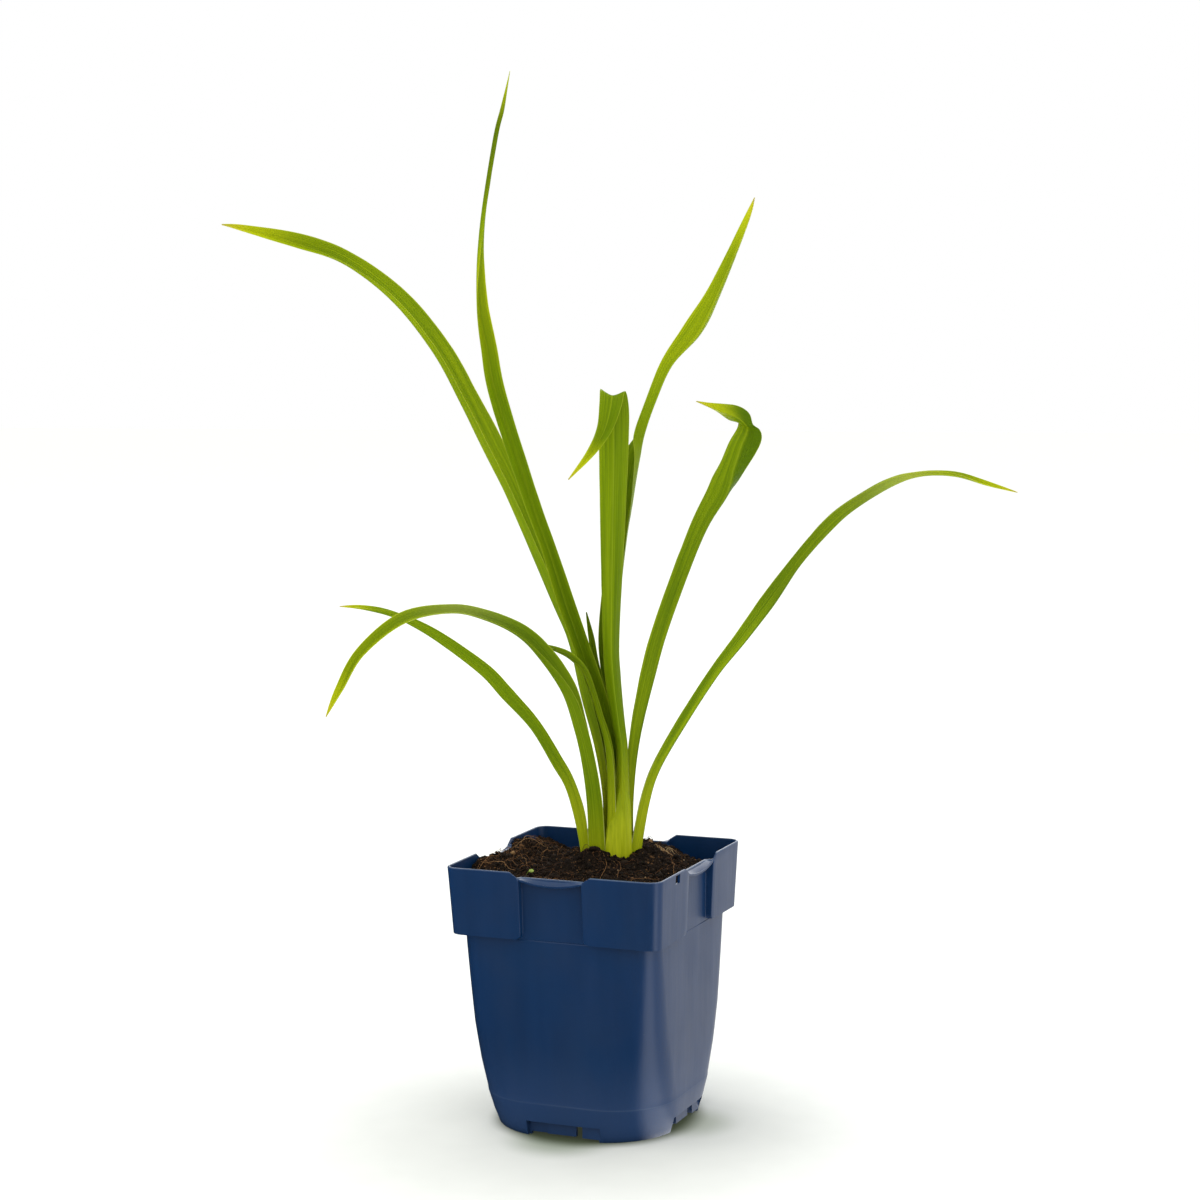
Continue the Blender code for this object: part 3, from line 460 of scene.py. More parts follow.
def pot_material():
    """Blue moulded plastic with flow streaks, scuffs and a soft satin skin; painted highlights along its
    rims and foot band, and painted light that makes it paler toward the bottom.
    """
    s = Shader("pot_plastic")
    place = s.position()
    across, depth, up = s.xyz(place)
    streaks = s.noise(place, (120.0, 120.0, 9.0), 3.0, 0.55)
    clouds = s.noise(place, 28.0, 3.0)
    fine = s.noise(place, (900.0, 900.0, 500.0))
    scuffs = s.noise(place, (160.0, 160.0, 700.0), 4.0, 0.7)
    rubbed = s.noise(place, (60.0, 60.0, 40.0))
    blue = s.ramp(streaks, [(0.3, (0.0008, 0.0240, 0.088)), (0.7, (0.0022, 0.0285, 0.102))])
    # Painted light: the lowest 40 mm turn paler, as the floor's light falls on them; the scuffs are real
    # wear.
    blue = s.layers(
        blue, (s.span(clouds, 0.45, 0.75, 0.0, 0.5), (0.0036, 0.0300, 0.098)),
        (s.span(up, 0.040, 0.0, 0.0, 0.9), (0.0200, 0.0520, 0.142)),
        (s.span(scuffs, 0.66, 0.76, 0.0, 0.18), (0.05, 0.075, 0.14)))
    # Painted highlights along the top edges of the rims and the foot band's chamfer, stronger in places.
    low_rim = s.times(s.span(up, 0.10255, 0.10280), s.span(up, 0.10345, 0.10330))
    off_middle = s.math("MINIMUM", s.math("ABSOLUTE", across), s.math("ABSOLUTE", depth))
    recessed = s.span(off_middle, 0.0140, 0.0132)
    rim_highlights = s.larger(s.span(up, 0.10505, 0.10525), s.times(low_rim, recessed))
    band = s.times(s.span(up, 0.01350, 0.01365), s.span(up, 0.01408, 0.01400))
    edges = s.times(s.larger(rim_highlights, s.times(band, 0.4)), s.span(clouds, 0.3, 0.6, 0.35, 0.9))
    s.bump(s.plus(s.times(streaks, 1.2), s.times(fine, 0.12)), 0.0002, 0.5)
    return s.surface(s.mix(edges, blue, EDGE_HIGHLIGHT_BLUE), s.span(rubbed, 0.3, 0.7, 0.285, 0.36), 0.45)


def peat_material():
    s = Shader("peat")
    place = s.position()
    clumps = s.noise(place, 160.0, 4.0, 0.6)
    grains = s.noise(place, 900.0, 4.0, 0.65)
    brown = s.ramp(grains, [(0.34, (0.003, 0.002, 0.0015)), (0.52, (0.010, 0.0065, 0.0045)),
                            (0.66, (0.034, 0.020, 0.011)), (0.78, (0.16, 0.10, 0.050))])
    rust = s.times(s.span(s.xyz(place)[0], -0.020, -0.038), s.span(clumps, 0.42, 0.6))
    # Painted shade: darker where the clumps are low, in the hollows of the bump.
    brown = s.layers(brown, (s.times(rust, 0.25), (0.060, 0.027, 0.010)),
                     (s.span(clumps, 0.55, 0.35, 0.0, 0.7), (0.010, 0.007, 0.005)))
    s.bump(s.plus(grains, s.times(clumps, 0.6)), 0.0010)
    return s.surface(brown, 0.95, 0.08)


def tinted_material(name, stops, roughness):
    """A dry natural material whose tone differs from piece to piece by the attribute tint."""
    s = Shader(name)
    grain = s.noise(s.position(), 1500.0)
    tone = s.plus(s.attribute("tint"), s.times(s.math("SUBTRACT", grain, 0.5), 0.25))
    s.bump(grain, 0.0003, 0.6)
    return s.surface(s.ramp(tone, stops), roughness, 0.12)


def seedling_material():
    s = Shader("seedling")
    grain = s.noise(s.position(), 1200.0)
    s.bump(grain, 0.0001, 0.4)
    green = s.ramp(grain, [(0.3, (0.20, 0.30, 0.03)), (0.7, (0.34, 0.44, 0.08))])
    return s.surface(green, 0.45, PLAIN_SPECULAR)


def bright_side(nodes, direction):
    """How bright the backdrop and its strip light are in a direction of the studio."""
    side = nodes.vector("DOT_PRODUCT", direction, BACKDROP_AXIS, "Value")
    strip = nodes.times(nodes.span(side, *STRIP), nodes.span(side, *STRIP_END))
    return nodes.larger(nodes.span(side, *BACKDROP), strip)


def floor_material():
    """Pale floor with painted shade round the pot and a faint painted glow; in reflections only it is black
    with a painted glow, dark in front and bright toward the back right.
    """
    s = Shader("floor")
    place = s.position()
    pale = s.ramp(s.noise(place, 60.0), [(0.3, FLOOR_TINT[0]), (0.7, FLOOR_TINT[1])])
    mirrored = s.add("LightPath", output="Is Glossy Ray")
    seen = s.math("SUBTRACT", 1.0, mirrored)
    # Painted shade round the pot, left out of reflections.
    for centre, start, stop, tint in SHADES:
        away = s.vector("DISTANCE", place, centre, "Value")
        pale = s.mix(s.times(s.span(away, start, stop, 1.0, 0.0), seen), pale, tint, "MULTIPLY")
    # Painted reflection: to reflections the floor is black and glows like the backdrop above it, dimmed by
    # FLOOR_REFLECTED.
    direction = s.add("VectorMath", place, operation="NORMALIZE")
    mirror = s.times(bright_side(s, direction), FLOOR_REFLECTED)
    glow = s.mix(mirrored, FLOOR_GLOW, s.combine(mirror, mirror, mirror))
    return s.surface(s.mix(mirrored, pale, (0.0, 0.0, 0.0)), 0.9, 0.0,
                     {"Emission Color": glow, "Emission Strength": 1.0})


# ---- Mesh helpers ----
def linked(name, data):
    made = bpy.data.objects.new(name, data)
    bpy.context.scene.collection.objects.link(made)
    return made


def dress(mesh, material, sharp_angle):
    mesh.materials.clear()
    mesh.materials.append(material)
    mesh.shade_smooth()
    mesh.set_sharp_from_angle(angle=radians(sharp_angle))


def finish_mesh(shape, name, material, sharp_angle):
    bmesh.ops.recalc_face_normals(shape, faces=shape.faces)
    mesh = bpy.data.meshes.new(name)
    shape.to_mesh(mesh)
    shape.free()
    dress(mesh, material, sharp_angle)
    return linked(name, mesh)


def store(mesh, name, values):
    """Give each point of a mesh a number for its material."""
    mesh.attributes.new(name, "FLOAT", "POINT").data.foreach_set("value", values)


def skin(shape, rings, flat_ends=False):
    """Add a closed body to a bmesh, skinned over rings of the same number of points."""
    loops = [[shape.verts.new(Vector(point) * MM) for point in ring] for ring in rings]
    count = len(loops[0])
    for lower, upper in zip(loops, loops[1:]):
        for i in range(count):
            j = (i + 1) % count
            shape.faces.new((lower[i], lower[j], upper[j], upper[i]))
    for loop in (loops[0], loops[-1]):
        if flat_ends:
            shape.faces.new(loop)
            continue
        middle = shape.verts.new(sum((vert.co for vert in loop), Vector()) / count)
        for i in range(count):
            shape.faces.new((loop[i], loop[(i + 1) % count], middle))


def place(piece, slot, *nodes):
    """Every piece rides on the one body and stands for its nodes, which are hidden; slot is not used."""
    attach(piece, "root")
    if nodes:
        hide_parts(*nodes)


# ---- Leaves ----
def carried_frames(points):
    """At each point, the way along the leaf and a front that turns as little as it can."""
    front = fan_point(0, 1, 0)
    frames = []
    for tangent in tangents(points):
        front = (front - front.dot(tangent) * tangent).normalized()
        frames.append((tangent, front))
    return frames


def blade_section(half_blade, fold):
    """Points of a V section: outer side from one margin to the other, then back inside.

    Returns (across, channel, share across, is inner) for each point.
    """
    wide = half_blade * sin(fold)
    tall = half_blade * cos(fold)
    bulge = 0.05 * half_blade
    thick = min(BLADE_THICKNESS, 0.3 * half_blade)
    scale = sqrt(1 + KEEL_ROUND ** 2) - KEEL_ROUND

    def middle(u):
        side = abs(u)
        rise = (sqrt(side * side + KEEL_ROUND ** 2) - KEEL_ROUND) / scale
        bow = 4 * bulge * side * (1 - side)
        x = wide * u + copysign(bow * cos(fold), u)
        return Vector((x, tall * rise - bow * sin(fold) - tall / 2))

    outer = []
    inner = []
    for step in range(-STEPS_ACROSS, STEPS_ACROSS + 1):
        u = step / STEPS_ACROSS
        point = middle(u)
        run = middle(min(u + 0.02, 1.0)) - middle(max(u - 0.02, -1.0))
        lifted = point + Vector((-run.y, run.x)).normalized() * (thick * (1.0 - MARGIN_THINNER * u * u))
        outer.append((point.x, point.y, u, 0.0))
        inner.append((lifted.x, lifted.y, u, 1.0))
    return outer + inner[-2:0:-1]


def make_leaf(name, rows, material, seed):
    tones, pale_top, darker, painted_sheen = LEAF_LOOKS[name]
    foot = rows[0]
    rows = ((*foot[:2], LEAF_ROOT, *foot[3:]),) + tuple(rows)
    samples = smooth_rows(rows, SAMPLES_PER_SPAN)
    points = [fan_point(*sample[:3]) for sample in samples]
    lengths = [0.0]
    for before, after in zip(points, points[1:]):
        lengths.append(lengths[-1] + (after - before).length)
    ripe = RIPENESS.get(name, 1.0)
    rings = []
    values = []
    for sample, point, (tangent, front), length in zip(samples, points, carried_frames(points), lengths):
        half_blade, fold, turn = sample[3:]
        tone = blend(tones, length / lengths[-1], 1)
        half_blade = max(half_blade, TIP_BLADE)
        half_blade *= 1.0 + 0.02 * noise.noise(Vector((length * 0.11, seed, 0.0)))
        along = tangent.cross(front)
        turn = radians(turn)
        channel = cos(turn) * front + sin(turn) * along
        across = channel.cross(tangent)
        pale = clamped((pale_top - point.z) / PALE_FADE)
        pale = pale * pale * (3.0 - 2.0 * pale)
        # Painted sheen: a grey reflection laid into the colour, by how far along the fan the point is.
        grey = exp(-((sample[0] - painted_sheen[0]) / painted_sheen[1]) ** 2) if painted_sheen else 0.0
        ring = []
        for x, y, share, inner in blade_section(half_blade, radians(fold)):
            wave = 0.10 * share * share * noise.noise(Vector((length * 0.16, share * 1.5, seed)))
            ring.append(point + across * x + channel * (y + wave))
            # Painted shade on the half past the keel.
            shade = darker * clamped(share * SHADE_EDGE)
            reach = ripe * length / lengths[-1]
            values.append((share, reach, length * MM, inner, pale, grey, shade, seed, tone))
        rings.append(ring)
    shape = bmesh.new()
    skin(shape, rings, flat_ends=True)
    bmesh.ops.recalc_face_normals(shape, faces=shape.faces)
    bmesh.ops.triangulate(shape, faces=[face for face in shape.faces if len(face.verts) > 4])
    piece = finish_mesh(shape, name.replace("leaf_", "blade_"), material, 60.0)
    for layer, column in zip(LEAF_LAYERS, zip(*values)):
        store(piece.data, layer, column)
    place(piece, "leaf", name)


def make_leaves():
    material = leaf_material()
    for index, (name, rows) in enumerate(LEAVES.items()):
        make_leaf(name, rows, material, 3.7 * index + 1.0)


# Stations of the leaf bases: height, how far along the fan and to its front, half width and depth.
SHEATH = ((94.0, 8.7, 2.6, 5.5, 5.0), (103.0, 8.7, 2.6, 5.5, 5.0), (109.0, 8.8, 2.6, 5.4, 4.9),
          (115.0, 9.2, 2.5, 5.0, 4.7), (121.0, 9.8, 2.4, 4.3, 4.3), (127.0, 10.4, 2.2, 3.4, 4.0),
          (132.0, 10.7, 2.0, 2.4, 3.4))
SHEATH_STEPS = 64


def make_sheath():
    """The leaf bases that sheathe one another in the middle of the fan, down into the peat."""
    rings = []
    for up, along, front, half_width, half_depth in smooth_rows(SHEATH, 4):
        ring = []
        for step in range(SHEATH_STEPS):
            angle = step * tau / SHEATH_STEPS
            ripple = 1.0 + 0.02 * sin(7 * angle + 1.0) + 0.012 * sin(13 * angle)
            ring.append(fan_point(along + half_width * ripple * cos(angle),
                                  front + half_depth * ripple * sin(angle), up))
        rings.append(ring)
    shape = bmesh.new()
    skin(shape, rings)
    place(finish_mesh(shape, "leaf_bases", sheath_material(), 60.0), "crown", "crown")


# ---- Pot ----
def taper(height, top, low_half, high_half):
    """Half width at a height between the collar's foot and a top."""
    share = (height - COLLAR_FOOT) / (top - COLLAR_FOOT)
    return low_half + share * (high_half - low_half)


def square_ring(side, half, radius):
    """A rounded square; side lists (distance along a side, half width there)."""
    flat = half - radius
    ring = []
    for quarter in range(4):
        turn = quarter * pi / 2
        points = [(along, -depth) for along, depth in side]
        for step in range(CORNER_STEPS + 1):
            angle = -pi / 2 + step * pi / 2 / CORNER_STEPS
            points.append((flat + radius * cos(angle), -flat + radius * sin(angle)))
        for x, y in points:
            ring.append((x * cos(turn) - y * sin(turn), x * sin(turn) + y * cos(turn)))
    return ring


def side_points(half, panel, edge, shoulder, inset):
    """One side of the collar: block, rounded step, recess panel, and the same mirrored."""
    outer = max(EDGE - inset, 0.1)
    inner = EDGE + inset * 0.5
    arc = [radians(angle) for angle in (0, 30, 60, 90)]
    left = [(-shoulder, half, 0)]
    left += [(-edge - outer + outer * sin(t), half - outer + outer * cos(t), 1) for t in arc]
    left += [(-edge + inner - inner * cos(t), panel + inner - inner * sin(t), 2) for t in arc]
    left.append((-edge / 2, panel, 2))
    right = [(-along, depth, part) for along, depth, part in reversed(left)]
    return left + [(0.0, panel, 2)] + right


def plain_side(half, edge, shoulder):
    """The same number of points as side_points, all on a flat side, in order."""
    alongs = [-shoulder] + [-edge - 0.5 + 0.15 * i for i in range(4)]
    alongs += [-edge + 0.2 + 0.15 * i for i in range(4)] + [-edge / 2]
    alongs += [0.0] + [-along for along in reversed(alongs)]
    return [(along, half) for along in alongs]


def body_ring(height, inset=0.0, proud=0.0):
    half = blend(BODY_PROFILE, height, 1) - inset + proud
    radius = blend(BODY_PROFILE, height, 2) - inset + proud
    spread = (half - radius) / (BODY_TOP_HALF - BODY_PROFILE[-1][2])
    wider = RECESS_CORNERS[0][1]
    side = plain_side(half, (RECESS_HALF_WIDTH + wider) * spread, (SHOULDER + wider) * spread)
    return [(x, y, height) for x, y in square_ring(side, half, radius)]


def collar_ring(height, inset=0.0, widen=0.0, drop=None):
    """Ring through the collar; drop is how far it lies below the wavy rim."""
    half = taper(height, POT_HEIGHT, COLLAR_FOOT_HALF, RIM_HALF) - inset
    panel = taper(height, RECESS_RIM, BODY_TOP_HALF, RECESS_TOP_HALF) - inset
    edge = RECESS_HALF_WIDTH + inset + widen
    side = side_points(half, panel, edge, SHOULDER + inset + widen * 0.6, inset)
    ring = square_ring([(along, depth) for along, depth, part in side], half, COLLAR_CORNER - inset)
    levels = [height] * len(side)
    if drop is not None:
        tops = (POT_HEIGHT, RECESS_RIM + 0.35, RECESS_RIM)
        levels = [tops[part] - drop for along, depth, part in side]
        height = POT_HEIGHT - drop
    levels += [height] * (CORNER_STEPS + 1)
    return [(x, y, levels[i % len(levels)]) for i, (x, y) in enumerate(ring)]


def pot_rings():
    outer = [body_ring(0.0, 0.25), body_ring(0.25, 0.0)]
    outer += [body_ring(height, proud=proud) for height, proud in FOOT_BAND]
    outer += [body_ring(height) for height in BODY_HEIGHTS]
    outer += [body_ring(COLLAR_FOOT - below, GROOVE) for below in (0.5, 0.1)]
    outer += [collar_ring(COLLAR_FOOT + rise, widen=widen) for rise, widen in RECESS_CORNERS]
    outer += [collar_ring(height) for height in COLLAR_HEIGHTS]
    outer += [collar_ring(POT_HEIGHT, depth, drop=drop) for depth, drop in RIM_ROUND]
    inner = [collar_ring(height, POT_WALL) for height in (COLLAR_HEIGHTS[-1], 93.0, COLLAR_FOOT + POT_WALL)]
    inner.append(body_ring(COLLAR_FOOT + POT_WALL - 0.1, POT_WALL))
    inner += [body_ring(row[0], POT_WALL) for row in reversed(BODY_PROFILE[2:-1])]
    inner.append(body_ring(FLOOR_TOP, POT_WALL))
    return outer + inner


def add_lip(shape, quarter):
    """The sloping lip that bridges a recess, with rounded edges."""
    outer = RIM_HALF - 0.25
    inner = RECESS_TOP_HALF - 0.45
    half_span = RECESS_HALF_WIDTH + 0.2
    turn = Matrix.Rotation(quarter * pi / 2, 3, "Z")
    sections = []
    for step in range(LIP_STEPS + 1):
        along = half_span * (2 * step / LIP_STEPS - 1)
        dip = (RECESS_RIM - LIP_HEIGHT) * (1 - (along / half_span) ** 2)
        top = RECESS_RIM - dip
        groove = RECESS_RIM - dip * 0.3 - 0.22
        under = top - LIP_THICKNESS
        profile = ((inner, RECESS_RIM - 0.15), (inner, RECESS_RIM - 1.3), (outer - 0.5, under - 0.04),
                   (outer - 0.15, under + 0.06), (outer, under + 0.3), (outer, top - 0.26),
                   (outer - 0.08, top - 0.08), (outer - 0.26, top), (outer - 0.46, top - 0.04),
                   (outer - 0.66, top - 0.2), (inner + 1.1, groove), (inner + 0.75, groove + 0.1),
                   (inner + 0.5, RECESS_RIM - 0.03))
        sections.append([turn @ Vector((along, -depth, height)) for depth, height in profile])
    skin(shape, sections)


def prism(name, outline, rise, turns, material):
    """A straight body over an outline between two heights, once for each turn about Z."""
    shape = bmesh.new()
    for turn in turns:
        rotate = Matrix.Rotation(turn, 3, "Z")
        skin(shape, [[rotate @ Vector((x, y, z)) for x, y in outline] for z in rise], flat_ends=True)
    return finish_mesh(shape, name, material, 30.0)


def box_outline(left, right, near, far):
    return ((left, -near), (right, -near), (right, -far), (left, -far))


def pot_cutters():
    """What the mould's core leaves open: arches, hollow floor, drain slots, label slit, ribs."""
    every = [quarter * pi / 2 for quarter in range(4)]
    inside = RIB_BACK - 2.0
    stepped = RIB_FRONT - RIB_STEP
    arch = ((ARCH_START, -OUTSIDE), (ARCH_START, -stepped), (RIB_JOINT, -stepped), (RIB_JOINT, -RIB_FRONT),
            (RIB_GAP[0], -RIB_FRONT), (RIB_GAP[0], -inside), (RIB_GAP[1], -inside),
            (RIB_GAP[1], -STEP_FRONT), (ARCH_END, -STEP_FRONT), (ARCH_END, -OUTSIDE))
    hollow = square_ring([(stop, RIB_BACK) for stop in (-6.0, 0.0, 6.0)], RIB_BACK, UNDERSIDE_CORNER)
    trim = box_outline(ARCH_START + 0.8, ARCH_END - 0.8, inside, STEP_FRONT + 1.0)
    (slit_along, slit_up), (slit_wide, slit_tall) = LABEL_SLIT_AT, LABEL_SLIT
    slit = box_outline(slit_along - slit_wide / 2, slit_along + slit_wide / 2, *LABEL_SLIT_DEPTH)
    slots = [box_outline(middle - DRAIN_HALF, middle + DRAIN_HALF, *DRAIN_DEPTH) for middle in DRAIN_AT]
    material = bpy.data.materials.new("cutter")
    plans = [("arches", arch, (-3.0, ARCH_HEIGHT - 0.1), every),
             ("hollow", hollow, (-2.0, UNDERSIDE), (0.0,)),
             ("drain_0", slots[0], (4.0, 8.0), every),
             ("drain_1", slots[1], (4.0, 8.0), every),
             ("label_slit", slit, (slit_up - slit_tall / 2, slit_up + slit_tall / 2), (pi / 2,)),
             ("rib_trim", trim, (-1.5, RIB_LIFT), every)]
    return [prism(*plan, material) for plan in plans]


def make_pot():
    material = pot_material()
    shape = bmesh.new()
    skin(shape, pot_rings())
    pot = finish_mesh(shape, "moulded_pot", material, 38.0)
    cutters = pot_cutters()
    for cutter in cutters:
        modifier = pot.modifiers.new(cutter.name, "BOOLEAN")
        modifier.object = cutter
        modifier.operation = "DIFFERENCE"
        modifier.solver = "EXACT"
    bpy.context.view_layer.update()
    cut = bpy.data.meshes.new_from_object(pot.evaluated_get(bpy.context.evaluated_depsgraph_get()))
    pot.modifiers.clear()
    for cutter in cutters:
        bpy.data.objects.remove(cutter)
    shape = bmesh.new()
    shape.from_mesh(cut)
    for quarter in range(4):
        add_lip(shape, quarter)
    shape.to_mesh(cut)
    shape.free()
    dress(cut, material, 34.0)
    pot.data = cut
    place(pot, "pot_plastic", "pot")


# ---- Peat ----
# Rises and hollows of the peat: middle, radius, height.
MOUNDS = (((6.0, 2.5), 17.0, 4.2), ((-4.0, 10.0), 7.0, 2.6), ((1.0, -7.0), 5.0, 4.6),
          ((19.0, 10.0), 9.0, 2.8), ((11.0, 28.0), 11.0, 3.6), ((-36.0, 13.0), 10.5, 4.3),
          ((-40.0, -12.0), 12.0, 2.6), ((-25.0, 38.0), 13.0, -6.5), ((-42.0, -40.0), 12.0, -7.0),
          ((35.0, 41.0), 15.0, -8.0))
SOIL_LEVEL = 101.6
SWELL_SCALE = 0.11  # of the broad swells, in swells to a millimetre
# Lumps of the peat: height, how many to a millimetre, level of their middles, and shift.
LUMPS = ((1.6, 0.30, 0.55, Vector((3.0, 1.0, 0.5))), (0.75, 0.75, 0.5, Vector()))
CRUMBLE = (0.55, 0.9)  # of the finest crumble: height, and how many to a millimetre
PEAT_CELL = 0.42
PEAT_SHEET = 43.4  # half the sheet that becomes the top of the peat
SKIRT_FOOT = 88.0  # the top's skirt goes down to here, and the block below up to BLOCK_TOP
BLOCK_TOP = 87.5
BLOCK_HEIGHTS = (FLOOR_TOP + 0.3, 14.0, 27.0, 42.0, 60.0, 78.0)
WALL_INSIDE = 43.2  # the inside of the collar, and how far the recess comes in from it
RECESS_INSIDE = 2.9
RECESS_SIDE = (2.2, 1.4)  # how far past the recess's edge it starts to come in, and over what run
CORNER_INSIDE = 4.2
PEAT_CORNER = 4.1
CROWN_CLEAR = ((7.5, 1.5), 13, 5)  # no crumbs here: middle, reach along the fan and across it
PEAT_REACH = 42  # of crumbs and fibres; x and y together stay under CORNER_REACH
CORNER_REACH = 79


def wall_limit(across):
    """How far the inside of the pot reaches at a distance along one of its sides."""
    start, run = RECESS_SIDE
    recess = clamped((RECESS_HALF_WIDTH + start - abs(across)) / run)
    return WALL_INSIDE - recess * RECESS_INSIDE


def held(value, limit):
    return clamped(value, -limit, limit)


def soil_level(x, y):
    level = SOIL_LEVEL
    for middle, radius, height in MOUNDS:
        distance = hypot(x - middle[0], y - middle[1]) / radius
        level += height * exp(-distance * distance)
    return level


def soil_height(x, y):
    """The peat's height: mounds, broad swells, lumps of two sizes and fine crumble."""
    place = Vector((x, y, 0.0))
    level = soil_level(x, y) + noise.fractal(place * SWELL_SCALE, 0.9, 2.1, 3)
    for height, scale, middle, shift in LUMPS:
        level += height * (middle - noise.voronoi(place * scale + shift)[0][0])
    return level + CRUMBLE[0] * noise.fractal(place * CRUMBLE[1], 0.7, 2.2, 4)


def inside_pot(x, y):
    """A place of the peat's sheet, drawn in to the walls, recesses and round corners."""
    x = held(x, wall_limit(y))
    y = held(y, wall_limit(x))
    corner = WALL_INSIDE - CORNER_INSIDE
    if abs(x) > corner and abs(y) > corner:
        reach = hypot(abs(x) - corner, abs(y) - corner)
        if reach > PEAT_CORNER:
            return [copysign(corner + (abs(v) - corner) * PEAT_CORNER / reach, v) for v in (x, y)]
    return x, y


def make_peat():
    """The top of the peat as a fine sheet with a skirt, over a plain block down to the floor."""
    count = int(2 * PEAT_SHEET / PEAT_CELL)
    stops = [PEAT_SHEET * (2 * i / count - 1) for i in range(count + 1)]
    shape = bmesh.new()
    grid = []
    for places in ([inside_pot(x, y) for y in stops] for x in stops):
        grid.append([shape.verts.new(Vector((x, y, soil_height(x, y))) * MM) for x, y in places])
    for i in range(count):
        for j in range(count):
            shape.faces.new((grid[i][j], grid[i + 1][j], grid[i + 1][j + 1], grid[i][j + 1]))
    bmesh.ops.dissolve_degenerate(shape, dist=0.00002, edges=shape.edges)
    border = [edge for edge in shape.edges if len(edge.link_faces) == 1]
    extruded = bmesh.ops.extrude_edge_only(shape, edges=border)["geom"]
    for item in extruded:
        if isinstance(item, bmesh.types.BMVert):
            item.co.z = SKIRT_FOOT * MM
    open_edges = [edge for edge in shape.edges if len(edge.link_faces) == 1]
    bmesh.ops.holes_fill(shape, edges=open_edges)
    block = [body_ring(height, POT_WALL + 0.3) for height in BLOCK_HEIGHTS]
    block.append([(x, y, BLOCK_TOP) for x, y, z in block[-1]])
    skin(shape, block)
    place(finish_mesh(shape, "peat", peat_material(), 80.0), "peat", "soil")


TUBE_SIDES = 5


class Scatter:
    """Many small bodies gathered into one mesh, each vertex with its body's tint."""

    def __init__(self, fineness):
        self.points = []
        self.faces = []
        self.tints = []
        ball = bmesh.new()
        bmesh.ops.create_icosphere(ball, subdivisions=fineness, radius=1.0)
        self.ball_points = [vert.co.copy() for vert in ball.verts]
        self.ball_faces = [[vert.index for vert in face.verts] for face in ball.faces]
        ball.free()

    def add(self, points, faces, tint):
        start = len(self.points)
        self.points.extend(point * MM for point in points)
        self.faces.extend([start + index for index in face] for face in faces)
        self.tints.extend([tint] * len(points))

    def lump(self, centre, radius, tint, stretch):
        """A rough crumb: a small ball pushed in and out."""
        turn = (Matrix.Rotation(random.uniform(0, tau), 3, "Z")
                @ Matrix.Rotation(random.uniform(0, 1.2), 3, "X"))
        offset = Vector([random.uniform(0, 50) for _ in range(3)])
        centre = Vector(centre)
        points = []
        for point in self.ball_points:
            rough = 1.0 + 0.45 * noise.noise(point * 1.3 + offset) + 0.2 * noise.noise(point * 3.0 + offset)
            local = point * radius * rough
            local.x *= stretch
            points.append(centre + turn @ local)
        self.add(points, self.ball_faces, tint)

    def fibre(self, points, radius, tint):
        """A thin root or fibre: a tube through points, tapering to both ends."""
        path = [Vector(row) for row in smooth_rows([tuple(point) for point in points], 4)]
        last = len(path) - 1
        tube = []
        for i, (point, tangent) in enumerate(zip(path, tangents(path))):
            side = tangent.cross(Vector((0.13, 0.21, 1.0))).normalized()
            upward = side.cross(tangent)
            size = radius * (0.35 + 0.65 * sin(pi * (0.12 + 0.76 * i / last)))
            tube += [point + (side * c + upward * s) * size for c, s in around(TUBE_SIDES)]
        first = range(TUBE_SIDES)
        faces = []
        for base in range(0, TUBE_SIDES * last, TUBE_SIDES):
            for k in first:
                j = (k + 1) % TUBE_SIDES
                faces.append((base + k, base + j, base + TUBE_SIDES + j, base + TUBE_SIDES + k))
        faces += [tuple(reversed(first)), tuple(TUBE_SIDES * last + k for k in first)]
        self.add(tube, faces, tint)

    def piece(self, name, material):
        mesh = bpy.data.meshes.new(name)
        mesh.from_pydata(self.points, [], self.faces)
        mesh.materials.append(material)
        mesh.shade_smooth()
        store(mesh, "tint", self.tints)
        place(linked(name, mesh), "peat")


def random_place(margin):
    """A place on the peat, clear of the walls by a margin and of the crown."""
    (middle_x, middle_y), wide, deep = CROWN_CLEAR
    while True:
        x = random.uniform(-PEAT_REACH, PEAT_REACH)
        y = random.uniform(-PEAT_REACH, PEAT_REACH)
        inside = abs(x) < wall_limit(y) - margin and abs(y) < wall_limit(x) - margin
        off_corner = abs(x) + abs(y) < CORNER_REACH - margin
        stem = ((x - middle_x) * cos(FAN_TURN) + (y - middle_y) * sin(FAN_TURN)) / wide
        depth = ((x - middle_x) * sin(FAN_TURN) - (y - middle_y) * cos(FAN_TURN)) / deep
        if inside and off_corner and stem * stem + depth * depth > 1:
            return x, y


CRUMBS = 1500
BROWN_EVERY = 16  # one crumb in so many is brown, and one in so many a pale speck
PALE_EVERY = 130
PALE_SPECK = (0.85, 0.3)  # tint and radius
GRAINS = 5200
CRUMB_TINTS = [(0.0, (0.006, 0.004, 0.003)), (0.35, (0.024, 0.015, 0.009)), (0.6, (0.15, 0.075, 0.030)),
               (0.8, (0.32, 0.20, 0.09)), (1.0, (0.50, 0.40, 0.27))]


